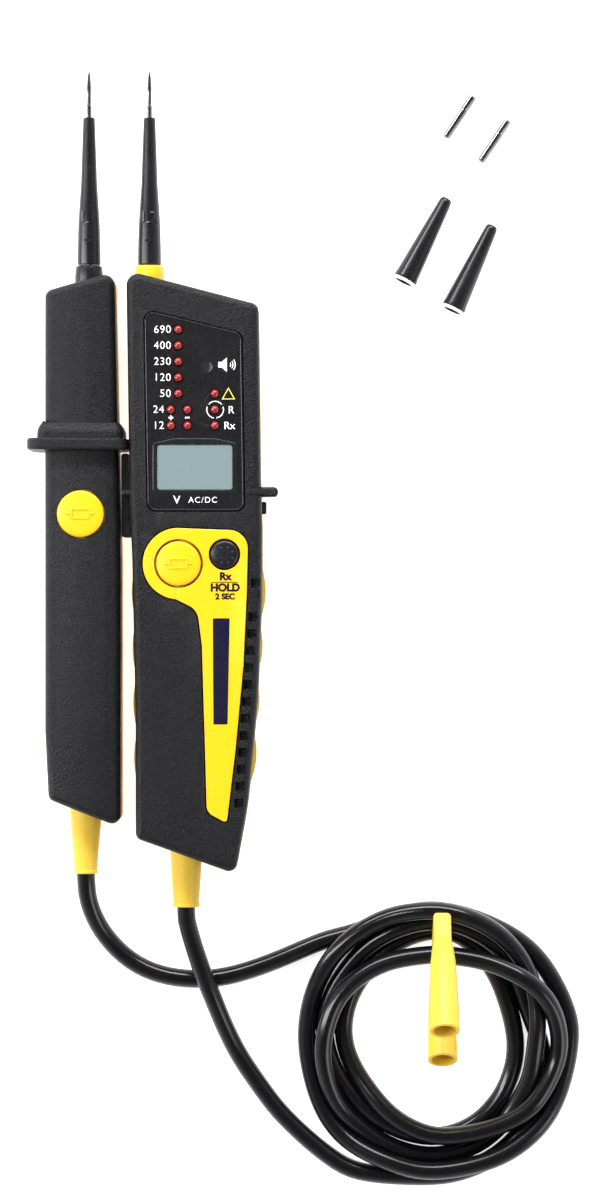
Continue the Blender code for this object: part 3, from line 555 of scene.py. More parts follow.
def settleLead(line):  # turns push each other apart, and off the table and the protector
    s, home = settleSetup, line.copy()
    count = len(line)
    apart = numpy.abs(numpy.subtract.outer(range(count), range(count))) > s["apart"]
    held = numpy.ones(count)
    held[:5] = held[-5:] = 0
    length, spacing = protectorSetup["length"], protectorSetup["spacing"]
    bars = []
    for aside in (-1.2, 1.2):
        bars += [(protectorPoint(0, 1.5, aside), protectorPoint(spacing, 1.5, aside), s["bar"])]
        for across in (0, spacing):
            bars += [(protectorPoint(across, 1.5, aside),
                      protectorPoint(across, protectorSetup["legs"], aside), s["leg"])]
    for across in (0, spacing):
        bars += [(protectorPoint(across, 15), protectorPoint(across, length), s["barrel"])]
    for step in range(s["rounds"]):
        push = numpy.zeros_like(line)
        gaps = line[:, None, :] - line[None, :, :]
        far = numpy.linalg.norm(gaps, axis=2) + 1e-6
        close = apart & (far < leadSetup["touching"])
        amount = numpy.where(close, (leadSetup["touching"] - far) * s["turnPush"], 0)
        push += (gaps / far[:, :, None] * amount[:, :, None]).sum(axis=1)
        for start, end, radius in bars:
            a, b = numpy.array(start), numpy.array(end)
            share = numpy.clip((line - a) @ (b - a) / ((b - a) @ (b - a)), 0, 1)
            away = line - (a + share[:, None] * (b - a))
            distance = numpy.linalg.norm(away, axis=1) + 1e-6
            short = numpy.maximum(leadSetup["radius"] + radius + s["room"] - distance, 0)
            push += away / distance[:, None] * short[:, None] * s["barPush"]
        limit = numpy.linalg.norm(push, axis=1, keepdims=True) + 1e-6
        push *= numpy.minimum(limit, s["farthest"]) / limit
        for smooth in range(2):
            push[1:-1] = 0.25 * push[:-2] + 0.5 * push[1:-1] + 0.25 * push[2:]
        calm = s["calm"] if step < s["rounds"] * s["calmUntil"] else 0.0
        shift = line - home
        even = numpy.zeros_like(line)
        even[1:-1] = (shift[:-2] + shift[2:]) / 2 - shift[1:-1]
        line = line + (push + even * s["even"] - shift * calm) * held[:, None]
        for smooth in range(3):  # takes out kinks, keeps the size of the turns
            bend = numpy.zeros_like(line)
            bend[1:-1] = (line[:-2] + line[2:]) / 2 - line[1:-1]
            kink = numpy.zeros_like(line)
            kink[2:-2] = (bend[1:-3] + bend[3:-1]) / 2 - bend[2:-2]
            line = line - kink * s["unkink"] * held[:, None]
        line[:, 2] = numpy.maximum(line[:, 2], leadSetup["radius"] + s["offTable"])
    return line


leadPath = settleLead(leadLine())


def buildLead():
    piece = wire("testLead", leadPath.tolist(), False)
    piece.data.bevel_depth = leadSetup["radius"] * mm
    piece.data.bevel_resolution = leadSetup["sides"]
    piece.data.use_fill_caps = True
    focusOn(piece)
    bpy.ops.object.convert(target="MESH")
    bpy.ops.object.shade_smooth_by_angle(angle=math.radians(50))
    piece.data.materials.clear()
    piece.data.materials.append(looks["cable"])
    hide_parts("probe_lead", "cable_coil", "main_lead")
    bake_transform(piece)


buildLead()


# outlines of the two handles

def gripWaves(fromY, toY, fromX, toX, swell, waves=4, steps=10):
    points = []
    for i in range(waves * steps + 1):
        share = i / (waves * steps)
        bulge = swell * abs(math.sin(math.pi * waves * share))
        points.append((fromX + (toX - fromX) * share + bulge, fromY + (toY - fromY) * share, 0))
    return points


mainRight = [(22.0, 89.6, 3.0), (22.8, 28.0, 0), (23.3, 12.0, 0), (23.2, -14.0, 0),
             (21.8, -49.0, 0), (18.5, -84.0, 0), (13.9, -110.2, 3.0)]
mainLeft = [(-21.1, -97.6, 2.8), (-21.1, -56.0, 0), (-22.3, 0.0, 0), (-23.2, 21.0, 0),
            (-24.4, 101.6, 4.0)]
mainOutline = roundedOutline(mainRight + mainLeft)
rearOutline = roundedOutline(
    mainRight[:3] + gripWaves(-3.0, -79.0, 23.3, 19.0, 1.5) + [(17.6, -90.0, 0)]
    + mainRight[-1:] + mainLeft[:1] + gripWaves(-80.0, -2.0, -21.1, -22.2, -1.1) + mainLeft[3:])
probeOutline = roundedOutline([
    (-28.8, 101.4, 3.5), (-27.7, 49.0, 0), (-26.6, 0.0, 0), (-26.6, -94.1, 3.0),
    (-52.0, -84.2, 2.8), (-53.2, -60.0, 0), (-53.2, 94.6, 3.0)])
panelOutline = roundedOutline([(16.1, 79.3, 3), (17.0, 17.2, 3), (-16.8, 17.2, 3),
                               (-18.0, 87.6, 3)])
loadKey = {"centre": (-6.0, -1.3), "radius": 7.8, "crown": 30.3, "gap": 0.75}
holdKey = {"centre": (10.1, 1.9), "radius": 4.95, "crown": 30.1, "gap": 0.55}
probeKey = {"centre": (-40.5, 16.2), "radius": 8.2, "crown": 27.3, "gap": 0.45}
lobe = [(loadKey["centre"][0] + 12.5 * math.cos(math.radians(95 + 5 * i)),
         loadKey["centre"][1] + 12.5 * math.sin(math.radians(95 + 5 * i)), 0) for i in range(35)]
inlayOutline = roundedOutline(lobe + [
    (0.6, -17.5, 6.0), (2.2, -30.0, 0), (3.3, -66.0, 0), (3.9, -88.4, 4.0), (10.9, -92.2, 1.0),
    (14.0, -66.0, 0), (16.7, -37.0, 0), (17.9, -11.6, 0), (18.4, 10.2, 6.5)])
tipHeight, mainTipX, probeTipX = 14.0, -16.8, -38.2
glandHeight, mainGlandX, probeGlandX = 11.0, -3.9, -39.5


def shell(name, outline, low, high, wall, roof, rim, opensDown):
    piece = plate(name, outline, low, high)
    openZ, inward = (low, 1) if opensDown else (high, -1)
    closedZ = high if opensDown else low
    roundEdges(piece, lambda e: all(abs(v.co.z / mm - closedZ) < 0.01 for v in e.verts), rim, 6)
    pick(piece, "FACE", lambda f: abs(middle(f).z - openZ) < 0.01 and abs(f.normal.z) > 0.9)
    bpy.ops.mesh.inset(thickness=wall * mm, depth=0)
    depth = (abs(high - low) - roof) * inward * mm
    bpy.ops.mesh.extrude_region_move(TRANSFORM_OT_translate={"value": (0, 0, depth)})
    done()
    return piece


def keyHole(key, steps=48, low=15):  # cutter for a key's opening
    return rod("keyHole", key["radius"] + key["gap"], (*key["centre"], low), (*key["centre"], 35),
               steps)


def openEnds(cover, tipX, collarRadius, glandX, wallY):
    cutWith(cover, rod("collarHole", collarRadius, (tipX, 85, tipHeight), (tipX, 112, tipHeight)),
            rod("glandHole", 5.9, (glandX, wallY + 8, glandHeight), (glandX, wallY - 14, glandHeight)))


print("building the main handle")
frontSetup = {"low": 12.15, "high": 29.0, "wall": 2.0, "roof": 2.4, "rim": 2.5,
              "ribs": 14, "ribTop": (-8.1, 20.8), "ribEnd": (-85.2, 15.0)}


def buildMainFront():
    s = frontSetup
    cover = shell("mainFront", mainOutline, s["low"], s["high"], s["wall"], s["roof"], s["rim"],
                  True)
    wingRight = plate("wingRight", box2d(20.6, 28.8, 22.2, 25.6, 1.5), 14, 27)
    wingLeft = plate("wingLeft", box2d(-26.1, -21.6, 22.5, 24.6, 0.9), 21, 28)
    lug = plate("lug", box2d(21.2, 24.7, 16.2, 20.6, 0.6), 14, 21)
    for wing in (wingRight, wingLeft, lug):
        softenAll(wing, 0.7, 3)
    cutWith(cover, wingRight, wingLeft, lug, operation="UNION")
    bar = plate("wingBar", box2d(18.0, 27.6, 22.9, 24.9, 0.9), 27.5, 29.35)
    softenAll(bar, 0.3, 2)
    cutWith(cover, bar, operation="UNION")
    cutWith(cover, plate("panelSeat", grown(panelOutline, 0.45), 27.3, 40),
            plate("panelOpening", grown(panelOutline, -1.6), 20, 35),
            plate("inlaySeat", grown(inlayOutline, 0.55), 27.8, 40),
            keyHole(loadKey), keyHole(holdKey),
            block("dockNotch", (-30, 38.1, 14.6), (-20.9, 43.3, 24.4)))
    openEnds(cover, mainTipX, 5.5, mainGlandX, -103.8)
    (topY, topX), (endY, endX) = s["ribTop"], s["ribEnd"]
    for n in range(s["ribs"]):  # square finger recesses down the right side
        share = n / (s["ribs"] - 1)
        x, y = topX + (endX - topX) * share, topY + (endY - topY) * share
        cutWith(cover, plate("recess", box2d(x - 1.5, x + 1.7, y - 1.6, y + 1.6, 0.3), 27.1, 40))
    roundRim(cover, s["high"], 0.32)
    sliceGrid(cover, 8, -110, 110)
    finishPiece(cover, "mainFrontCover", "main_handle", looks["overmould"],
                ["main_front_cover"])


doorSetup = {"left": -13.0, "right": 11.0, "low": -81.0, "high": -22.0, "thick": 2.4}


def buildMainRear():
    cover = shell("mainRear", rearOutline, 0.0, 11.85, 2.0, 2.4, 2.4, False)
    d = doorSetup
    seats = [(10.0, 85.6), (-14.0, -90.0)]
    cutWith(cover, plate("doorHole", box2d(d["left"] - 0.3, d["right"] + 0.3, d["low"] - 0.3,
                                           d["high"] + 0.3, 1.5), -1, 5),
            plate("labelField", box2d(-15, 13, 5, 60, 2), -1, 0.25),
            *[rod("screwSeat", 2.9, (*seat, -1), (*seat, 4)) for seat in seats])
    openEnds(cover, mainTipX, 5.5, mainGlandX, -103.8)
    roundRim(cover, 0, 0.2, 2)
    finishPiece(cover, "mainRearCover", "main_handle", looks["yellow"],
                ["main_rear_cover"])
    door = plate("door", box2d(d["left"], d["right"], d["low"], d["high"], 1.2), 0, d["thick"])
    cutWith(door, rod("doorSeat", 2.5, (-1, d["high"] - 4, -1), (-1, d["high"] - 4, 1.7)),
            rod("doorThread", 1.4, (-1, d["high"] - 4, -1), (-1, d["high"] - 4, 5)))
    for n in range(5):  # finger ribs at the lower end
        cutWith(door, plate("rib", box2d(-8, 6, -77 + n * 2.4, -76 + n * 2.4, 0.4), -1, 0.5))
    softenAll(door, 0.25, 2)
    finishPiece(door, "batteryDoor", "main_handle", looks["yellow"],
                ["battery_door"])


lampRows = {"top": 80.6, "pitch": 5.6, "left": -6.1, "pair": (-8.7, -2.9), "right": 6.7}
screenSetup = {"centre": (-0.3, 32.4), "width": 26.4, "height": 15.8}


def lampRow(n):  # height of a row of lamps on the panel
    return lampRows["top"] - n * lampRows["pitch"]


def lampPlaces():
    places = {f"led_{volts}v": (lampRows["left"], lampRow(n))
              for n, volts in enumerate((690, 400, 230, 120, 50))}
    for n, volts in ((5, 24), (6, 12)):
        for sign, x in zip(("plus", "minus"), lampRows["pair"]):
            places[f"led_{volts}v_{sign}"] = (x, lampRow(n))
    for n, name in ((4, "led_warning"), (5, "led_phase"), (6, "led_continuity")):
        places[name] = (lampRows["right"], lampRow(n))
    return places


def buildDisplay():
    x, y = screenSetup["centre"]
    halfX, halfY = screenSetup["width"] / 2, screenSetup["height"] / 2
    window = box2d(x - halfX, x + halfX, y - halfY, y + halfY, 1.0)
    panel = plate("panel", panelOutline, 27.7, 28.7)
    hood = plate("hood", roundedOutline([
        (x - halfX - 1.6, y - halfY - 1.3, 1.6), (x + halfX + 1.6, y - halfY - 1.3, 1.6),
        (x + halfX + 1.6, y + halfY + 0.6, 1.4), (x + 7, y + halfY + 2.3, 6),
        (x - 7, y + halfY + 2.3, 6), (x - halfX - 1.6, y + halfY + 0.6, 1.4)]), 28.2, 29.0)
    softenAll(hood, 0.35, 3)
    cutWith(panel, hood, operation="UNION")
    cutWith(panel, plate("screenHole", grown(window, 0.25), 20, 40),
            rod("buzzerHole", 1.9, (4.0, 67.6, 20), (4.0, 67.6, 40)))
    for place in lampPlaces().values():
        cutWith(panel, rod("lampHole", 1.85, (*place, 20), (*place, 40), 24))
    roundRim(panel, 28.7, 0.4)
    finishPiece(panel, "displayPanel", "main_handle", looks["panel"],
                ["display_panel"])

    bead = plate("bead", grown(panelOutline, -0.15), 28.5, 28.95)  # raised rim round the panel
    cutWith(bead, plate("beadInside", grown(panelOutline, -0.6), 28, 30))
    softenAll(bead, 0.18, 3)
    finishPiece(bead, "panelBead", "main_handle", looks["bead"])

    glass = plate("glass", window, 27.7, 28.6)
    softenAll(glass, 0.25, 3)
    finishPiece(glass, "displayWindow", "main_handle", looks["screen"],
                ["display_window"])

    profile = [(0, 30.25)] + [(1.5 * math.sin(math.radians(a)), 28.75 + 1.5 * math.cos(
        math.radians(a))) for a in range(15, 91, 15)] + [(1.5, 26.2), (1.9, 26.2), (1.9, 25.2),
                                                         (0.7, 25.2), (0.7, 19.9), (0, 19.9)]
    shape = None
    for name, place in lampPlaces().items():
        here = Vector((*place, 0)) * mm
        if shape is None:
            lamp = lathe(name, profile, (*place, 0), steps=24)
            origin, shape = here, lamp.data.copy()
        else:
            lamp = bpy.data.objects.new(name, shape.copy())
            bpy.context.collection.objects.link(lamp)
            lamp.data.transform(Matrix.Translation(here - origin))
        finishPiece(lamp, name + "_lamp", "main_handle", looks["red"], [name], 50)


def buildInlay():
    inlay = plate("inlay", inlayOutline, 27.9, 29.15)
    cutWith(inlay, keyHole(loadKey, 96), keyHole(holdKey, 96))
    roundRim(inlay, 29.15, 0.25)
    sliceGrid(inlay, 8, -110, 110)
    finishPiece(inlay, "keypadInlay", "main_handle", looks["yellow"],
                ["keypad_inlay"])


def resistorMark(name, x, y, z, width, height):  # raised outline of a resistor with two leads
    frameLine = plate(name, box2d(x - width / 2, x + width / 2, y - height / 2, y + height / 2, 0.3),
                      z - 0.6, z)
    cutWith(frameLine, plate("inside", box2d(x - width / 2 + 0.5, x + width / 2 - 0.5,
                                             y - height / 2 + 0.5, y + height / 2 - 0.5, 0.15),
                             z - 2, z + 1))
    leads = [plate("leadMark", box2d(x + side * (width / 2 + 0.75) - 0.8,
                                     x + side * (width / 2 + 0.75) + 0.8, y - 0.2, y + 0.2), z - 0.6, z)
             for side in (-1, 1)]
    return mergeInto(frameLine, *leads)


def buildKey(name, setup, roofLow, bottom, look, body, nodes, marked):
    radius, crown = setup["radius"], setup["crown"]
    profile = [(0, crown)] + [(radius * s, crown - drop) for s, drop in
                              ((0.3, 0.02), (0.6, 0.1), (0.82, 0.24), (0.93, 0.42), (0.985, 0.7))]
    profile += [(radius, crown - 1.1), (radius, roofLow - 0.4), (radius + 0.9, roofLow - 0.4),
                (radius + 0.9, bottom), (0, bottom)]
    key = lathe(name, profile, (*setup["centre"], 0), steps=96)
    x, y = setup["centre"]
    if marked:
        mark = resistorMark("mark", x, y, crown + 0.25, 6.6, 3.7)
        softenAll(mark, 0.1, 2)
        key = mergeInto(key, mark)
    else:  # finger dimples round a small ring
        ring = lathe("ring", [(1.1, crown + 0.12), (1.5, crown + 0.12), (1.5, crown - 0.4),
                              (1.1, crown - 0.4)], (x, y, 0), steps=48, closed=True)
        for n in range(8):
            a = math.radians(45 * n + 22.5)
            bpy.ops.mesh.primitive_uv_sphere_add(segments=16, ring_count=8, radius=0.62 * mm,
                                                 location=((x + 2.9 * math.cos(a)) * mm,
                                                           (y + 2.9 * math.sin(a)) * mm,
                                                           (crown + 0.25) * mm))
            cutWith(key, bpy.context.object)
        key = mergeInto(key, ring)
    finishPiece(key, name, body, look, nodes, 45)


buildMainFront()
buildMainRear()
buildDisplay()
buildInlay()
buildKey("mainLoadKey", loadKey, 26.6, 25.0, looks["yellow"], "main_button",
         ["main_load_button"], True)
buildKey("holdKey", holdKey, 26.6, 25.0, looks["blackPlastic"], "hold_key",
         ["hold_button"], False)


# printed marks, all generic

def lettering(text, x, y, height, z, align="CENTER", bold=0.05, depth=0.03,
              spread=1.0):
    bpy.ops.object.text_add(location=(0, 0, 0))
    piece = bpy.context.object
    piece.data.body = text
    piece.data.size = height / 0.76 * mm
    piece.data.align_x = align
    piece.data.align_y = "CENTER"
    piece.data.offset = bold * mm
    piece.data.space_character = spread
    piece.data.extrude = depth * mm
    focusOn(piece)
    bpy.ops.object.convert(target="MESH")
    piece.data.transform(Matrix.Translation((x * mm, y * mm, z * mm)))
    return piece


def ringPlate(x, y, inner, outer, low, high, gapAt=(), gapWidth=0.9):
    ring = lathe("ringMark", [(inner, low), (outer, low), (outer, high), (inner, high)],
                 (x, y, 0), steps=48, closed=True)
    for degrees in gapAt:
        a = math.radians(degrees)
        gx, gy = x + inner * math.cos(a), y + inner * math.sin(a)
        cutWith(ring, block("gap", (gx - gapWidth / 2, gy - gapWidth / 2, low - 1),
                            (gx + gapWidth / 2, gy + gapWidth / 2, high + 1)))
    return ring


def buildPanelMarks():
    low, high = 28.6, 28.74
    marks = []
    for n, text in enumerate(("690", "400", "230", "120", "50", "24", "12")):
        right = -8.6 if n < 5 else -11.0
        marks.append(lettering(text, right, lampRow(n), 2.9, high, "RIGHT", -0.015, spread=1.1))
    signY = lampRow(5.5)
    for x in lampRows["pair"]:
        marks.append(plate("bar", box2d(x - 0.85, x + 0.85, signY - 0.25, signY + 0.25), low, high))
    x = lampRows["pair"][0]
    marks.append(plate("bar", box2d(x - 0.25, x + 0.25, signY - 0.85, signY + 0.85), low, high + 0.02))
    marks.append(lettering("R", 12.4, 52.4, 2.8, high, bold=0.03))
    marks.append(lettering("Rx", 11.8, 46.9, 2.8, high, bold=0.03))
    marks.append(lettering("V", -6.6, 20.9, 3.0, high, bold=0.03))
    marks.append(lettering("AC/DC", 2.5, 20.9, 2.2, high, bold=0.0, spread=1.2))
    speaker = [(7.9, 67.3), (9.1, 67.3), (10.9, 65.8), (10.9, 70.8), (9.1, 69.3), (7.9, 69.3)]
    marks.append(plate("speaker", speaker, low, high))
    for radius in (1.2, 2.0, 2.8):
        wave = ringPlate(10.9, 68.3, radius, radius + 0.32, low, high)
        cutWith(wave, plate("fan", [(10.9 + 0.35, 68.3), (20, 60.5), (20, 76.1)], low - 1, high + 1),
                operation="INTERSECT")
        marks.append(wave)
    marks.append(ringPlate(6.8, lampRow(5), 2.75, 3.1, low, high, (30, 150, 270)))
    joined = mergeInto(*marks)
    finishPiece(joined, "panelMarks", "main_handle", looks["whiteInkAndHighlight"])
    triangle = plate("triangle", [(9.1, 56.2), (13.8, 56.2), (11.45, 60.4)], low, high)
    cutWith(triangle, plate("inside", [(9.6, 56.47), (13.3, 56.47), (11.45, 59.8)], low - 1,
                            high + 1))
    finishPiece(triangle, "triangleMark", "main_handle", looks["yellowInk"])


def buildInlayMarks():
    high = 29.19
    marks = [lettering("Rx", 10.4, -5.9, 2.8, high, bold=0.18),
             plate("rule", box2d(5.7, 14.8, -8.0, -7.7), 29.0, high),
             lettering("HOLD", 10.3, -9.8, 2.8, high, bold=0.2),
             lettering("2 SEC", 10.3, -12.9, 2.1, high, bold=0.14),
             plate("blankPlate", roundedOutline([(6.0, -20.4, 0.5), (11.9, -20.4, 0.5),
                                                 (11.2, -57.6, 0.5), (6.2, -57.6, 0.5)]),
                   29.0, high)]
    finishPiece(mergeInto(*marks), "inlayMarks", "main_handle", looks["navyInk"])


buildPanelMarks()
buildInlayMarks()


# pieces that both handles have

def buildTip(tag, body, tipX, collarRadius, collarLook, collarNode, sleeveNode, rodNode,
             letters, sign):
    collar = lathe(tag + "Collar", [
        (collarRadius - 0.9, 104.2), (collarRadius - 0.45, 103.9), (collarRadius - 0.25, 103.2),
        (collarRadius, 100.5), (collarRadius, 94.5), (1.3, 94.5), (1.3, 104.2)],
        (tipX, 0, tipHeight), (0, 1, 0), 64, True)
    softenAll(collar, 0.15, 2, 50)
    finishPiece(collar, tag + "Collar", body, collarLook, [collarNode])

    sleeve = lathe(tag + "Sleeve", [
        (2.1, 156.3), (1.9, 156.6), (1.3, 156.6), (1.3, 104.5), (3.9, 104.5), (4.15, 104.8),
        (4.1, 109.0), (3.85, 118.5), (3.45, 125.0), (2.9, 133.0), (2.5, 145.0)],
        (tipX, 0, tipHeight), (0, 1, 0), 72, True)
    marks = [lettering(letters, tipX, 121.0, 4.4, 0, bold=0.1, depth=0.5),
             plate("sign", box2d(tipX - 1.4, tipX + 1.4, 112.6, 113.4), -0.5, 0.5)]
    if sign == "+":
        marks.append(plate("sign", box2d(tipX - 0.4, tipX + 0.4, 111.5, 114.5), -0.48, 0.48))
    raised = mergeInto(*marks)
    for v in raised.data.vertices:  # lay the marks round the tapered sleeve
        around = 4.1 - (v.co.y / mm - 109.0) * 0.0263
        side = min(abs(v.co.x / mm - tipX), 3.4)
        v.co.z = (tipHeight + math.sqrt(around * around - side * side)) * mm + v.co.z * 0.8
    sleeve = mergeInto(sleeve, raised)
    finishPiece(sleeve, tag + "Sleeve", body, looks["glossBlack"], [sleeveNode], 30)

    metal = lathe(tag + "Rod", [
        (0, 173.1), (0.28, 172.8), (0.55, 171.2), (0.9, 167.1), (0.8, 165.6), (0.8, 161.2),
        (1.0, 160.8), (1.0, 86.0), (0, 86.0)], (tipX, 0, tipHeight), (0, 1, 0), 48)
    finishPiece(metal, tag + "Rod", body, looks["nickel"], [rodNode], 25)


def buildGland(tag, body, x, wallY, endY, endRadius, node):
    inner = wallY + 6.2
    piece = lathe(tag + "Gland", [
        (6.45, inner), (6.45, inner - 1.5), (5.65, inner - 1.5), (5.65, wallY), (5.45, wallY - 4),
        (endRadius + 0.25, endY + 4.0), (endRadius, endY + 1.3), (endRadius + 0.28, endY + 0.95),
        (endRadius + 0.28, endY + 0.15), (endRadius, endY), (3.35, endY), (3.35, endY + 8),
        (3.35, inner)], (x, 0, glandHeight), (0, 1, 0), 72, True)
    softenAll(piece, 0.12, 2, 45)
    finishPiece(piece, tag + "Gland", body, looks["yellowRubber"], [node])


buildTip("main", "main_handle", mainTipX, 5.3, looks["yellow"],
         "main_probe_collar", "main_probe_sleeve", "main_probe_rod", "L2", "+")
buildTip("probe", "probe_handle", probeTipX, 5.0, looks["blackPlastic"],
         "probe_collar", "probe_sleeve", "probe_rod", "L1", "-")
buildGland("main", "main_handle", mainGlandX, -103.8, -122.8, 4.55, "main_cable_gland")
buildGland("probe", "probe_handle", probeGlandX, -89.1, -111.0, 3.95, "probe_cable_gland")
print("tips and glands built")


# the second handle

crownSetup = {"middle": -39.9, "half": 13.3, "drop": 1.9, "slices": 14}


def crownTop(cover):  # slice along the length, then lower the slices away from the middle
    c = crownSetup
    pick(cover, "VERT", lambda v: True)
    for n in range(1, c["slices"]):
        x = c["middle"] + c["half"] * (2 * n / c["slices"] - 1)
        bpy.ops.mesh.select_all(action="SELECT")
        bpy.ops.mesh.bisect(plane_co=(x * mm, 0, 0), plane_no=(1, 0, 0))
    done()
    cuts = [-1 + 2 * n / c["slices"] for n in range(c["slices"] + 1)]
    for v in cover.data.vertices:
        if v.co.z > 19 * mm:
            across = (v.co.x / mm - c["middle"]) / c["half"]
            v.co.z -= c["drop"] * mm * float(numpy.interp(across, cuts, [cut * cut for cut in cuts]))


def buildProbeCovers():
    front = shell("probeFront", probeOutline, 12.15, 26.0, 2.0, 2.2, 2.5, True)
    cutWith(front, keyHole(probeKey, 96, 14))
    openEnds(front, probeTipX, 5.2, probeGlandX, -89.1)
    crownTop(front)
    finishPiece(front, "probeFrontCover", "probe_handle", looks["overmould"],
                ["probe_front_cover"])
    rear = shell("probeRear", probeOutline, 2.0, 11.85, 2.0, 2.2, 2.4, False)
    cutWith(rear, *[rod("screwSeat", 2.9, (*seat, 0), (*seat, 6))
                    for seat in ((-47.4, 85.0), (-31.8, -76.0))])
    openEnds(rear, probeTipX, 5.2, probeGlandX, -89.1)
    finishPiece(rear, "probeRearCover", "probe_handle", looks["yellow"],
                ["probe_rear_cover"])


def uprightPlate(name, outline, fromY, toY):  # outline drawn in x and z, extruded along y
    piece = plate(name, [(p[0], p[1]) for p in outline], 0, toY - fromY)
    piece.data.transform(Matrix(((1, 0, 0, 0), (0, 0, 1, fromY * mm), (0, 1, 0, 0), (0, 0, 0, 1))))
    tidyMesh(piece)
    return piece


def buildGuard():
    flange = uprightPlate("flange", box2d(-59.3, -24.1, 0, 31.0, 5.0), 38.6, 42.8)
    softenAll(flange, 0.9, 4)
    flare = uprightPlate("flare", box2d(-55.8, -25.5, 0.5, 27.8, 3.0), 40.0, 44.6)
    pick(flare, "FACE", lambda f: abs(middle(f).y - 44.6) < 0.01)
    for inward, upward in ((0.1, 0.9), (0.3, 0.9), (0.45, 0.8), (0.5, 0.7), (0.45, 0.6), (0.2, 0.5)):
        bpy.ops.mesh.inset(thickness=inward * mm, depth=upward * mm)
    done()
    tongue = plate("tongue", box2d(-25.5, -21.4, 39.0, 42.4, 0.5), 15.4, 23.6)
    cutWith(flange, flare, tongue, operation="UNION")
    cutWith(flange, uprightPlate("opening", box2d(-53.6, -27.2, 1.7, 26.3, 0.6), 30.0, 55.0))
    finishPiece(flange, "fingerGuard", "probe_handle", looks["overmould"],
                ["probe_finger_guard"])


def buildDockLatch():
    latch = plate("latch", roundedOutline([(-26.3, 8.0, 1.0), (-23.2, 8.0, 0), (-23.8, 21.0, 0),
                                           (-24.0, 37.6, 0), (-26.6, 37.6, 1.0)]), 5, 20)
    softenAll(latch, 0.4, 3)
    finishPiece(latch, "dockLatch", "main_handle", looks["blackPlastic"],
                ["dock_latch"])


buildProbeCovers()
buildGuard()
buildDockLatch()
buildKey("probeLoadKey", probeKey, 23.8, 22.5, looks["yellow"], "probe_button",
         ["probe_load_button"], True)
print("second handle built")


# tip protector, adapters and tip covers

def buildProtector():
    s = protectorSetup
    strap, spacing = s["strap"], s["spacing"]
    hoop = plate("hoop", roundedOutline([
        (-strap, 0, 2.2), (spacing + strap, 0, 2.2), (spacing + strap, s["legs"], 0),
        (spacing - strap, s["legs"], 0), (spacing - strap, s["bar"], 1.8),
        (strap, s["bar"], 1.8), (strap, s["legs"], 0), (-strap, s["legs"], 0)]), -3.1, 3.1)
    softenAll(hoop, 1.2, 3)
    hoop.data.transform(Matrix(((0, 0, 1, 0), (1, 0, 0, 0), (0, 1, 0, 0), (0, 0, 0, 1))))
    for across in (0, spacing):
        barrel = lathe("barrel", [(0, 9.0), (2.4, 9.0), (3.3, 11.0), (3.8, 14.0), (4.4, 19.0),
                                  (4.8, 27.0), (5.1, 36.0), (s["radius"] + 0.1, s["length"]),
                                  (0, s["length"])],
                       (0, across, 0), steps=64)
        cutWith(hoop, barrel, operation="UNION")
    hoop.data.remesh_voxel_size = 0.4 * mm
    focusOn(hoop)
    bpy.ops.object.voxel_remesh()
    applyModifier(hoop, "SMOOTH", factor=0.6, iterations=6)
    for across in (0, spacing):
        cutWith(hoop, rod("bore", s["bore"], (0, across, 17.5), (0, across, 60), 64))
    tilt = Matrix.Rotation(math.radians(90 - s["tilt"]), 4, "X")
    hoop.data.transform(Matrix.Translation(Vector(s["base"]) * mm) @ tilt)
    finishPiece(hoop, "tipProtector", "protector", looks["yellowRubber"],
                ["tip_protector"], 40)


adapterPlaces = {"a": ((88.6, 151.4), (98.6, 166.4)), "b": ((101.1, 142.8), (111.1, 157.8))}
coverPlaces = {"a": ((88.9, 129.3), (73.4, 99.3)), "b": ((105.2, 119.6), (90.7, 89.2))}


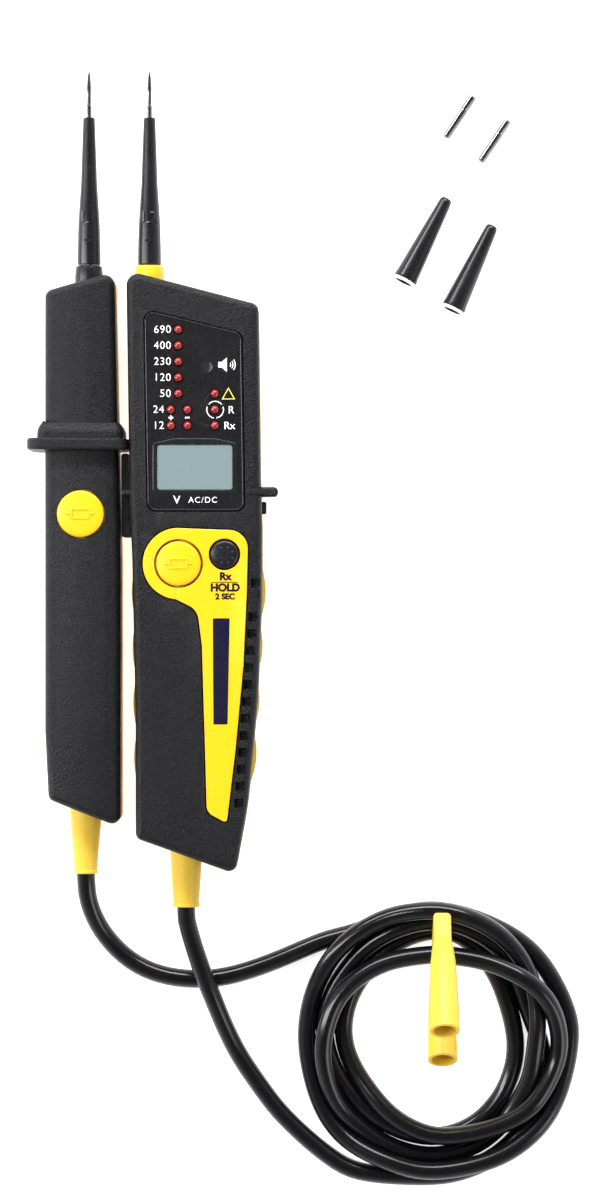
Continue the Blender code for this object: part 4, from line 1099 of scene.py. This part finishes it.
def buildLoosePieces():
    for tag, (start, end) in adapterPlaces.items():
        base = Vector((*start, 1.4))
        along = (Vector((*end, 1.4)) - base).normalized()
        pin = lathe("adapter", [
            (0, 17.6), (1.0, 17.6), (1.4, 17.2), (1.4, 12.2), (1.32, 12.0), (1.32, 11.6),
            (1.4, 11.4), (1.4, 0.4), (1.1, 0), (0.9, 0), (0.9, 9.0), (0, 9.0)], base, along, 48)
        finishPiece(pin, "tipAdapter_" + tag, "adapter_" + tag, looks["nickel"],
                    ["tip_adapter_" + tag], 25)
    for tag, (start, end) in coverPlaces.items():
        base = Vector((*start, 2.35))
        along = (Vector((*end, 4.4)) - base).normalized()
        sock = lathe("sock", [
            (1.2, 0), (1.65, 0), (2.05, 0.5), (2.25, 1.4), (3.3, 17.5), (4.15, 31.2), (4.3, 31.6),
            (4.3, 33.4), (4.1, 33.7), (3.1, 33.7), (2.9, 31), (2.3, 14.0), (1.2, 8.0)],
            base, along, 64, True)
        softenAll(sock, 0.12, 2, 50)
        finishPiece(sock, "tipCover_" + tag, "cover_" + tag, looks["glossBlack"],
                    ["tip_cover_" + tag])
        # pale ring round the wide end: a painted highlight, white in place of the light caught on the
        # cover's rim
        rim = lathe("rim", [(3.2, 32.9), (4.36, 32.9), (4.36, 33.5), (4.2, 33.8), (3.2, 33.8)],
                    base, along, 64, True)
        finishPiece(rim, "coverHighlightRim_" + tag, "cover_" + tag, looks["whiteInkAndHighlight"])


buildProtector()
buildLoosePieces()
print("loose pieces built")


# the parts inside keep their shape and take a better finish

insideLooks = {
    "board": ["main_circuit_board", "probe_circuit_board"],
    "cell": ["battery_a", "battery_b"],
    "steel": ["battery_contact_upper", "battery_contact_lower", "battery_door_screw",
              "main_case_screw_1", "main_case_screw_2", "probe_case_screw_1", "probe_case_screw_2"],
    "ceramic": ["probe_series_resistor"],
    # the buzzer is white as a painted highlight: it gives the bright spot of light seen at the bottom
    # of the buzzer hole
    "whiteInkAndHighlight": ["buzzer"],
    "blackPlastic": ["main_load_switch", "hold_switch", "probe_load_switch"],
    "screen": ["lcd_module"],
}
for lookName, nodeNames in insideLooks.items():
    for nodeName in nodeNames:
        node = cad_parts[nodeName]
        if node.material_slots:
            for place in node.material_slots:
                place.material = looks[lookName]
        else:
            node.data.materials.append(looks[lookName])

print("all pieces in place")
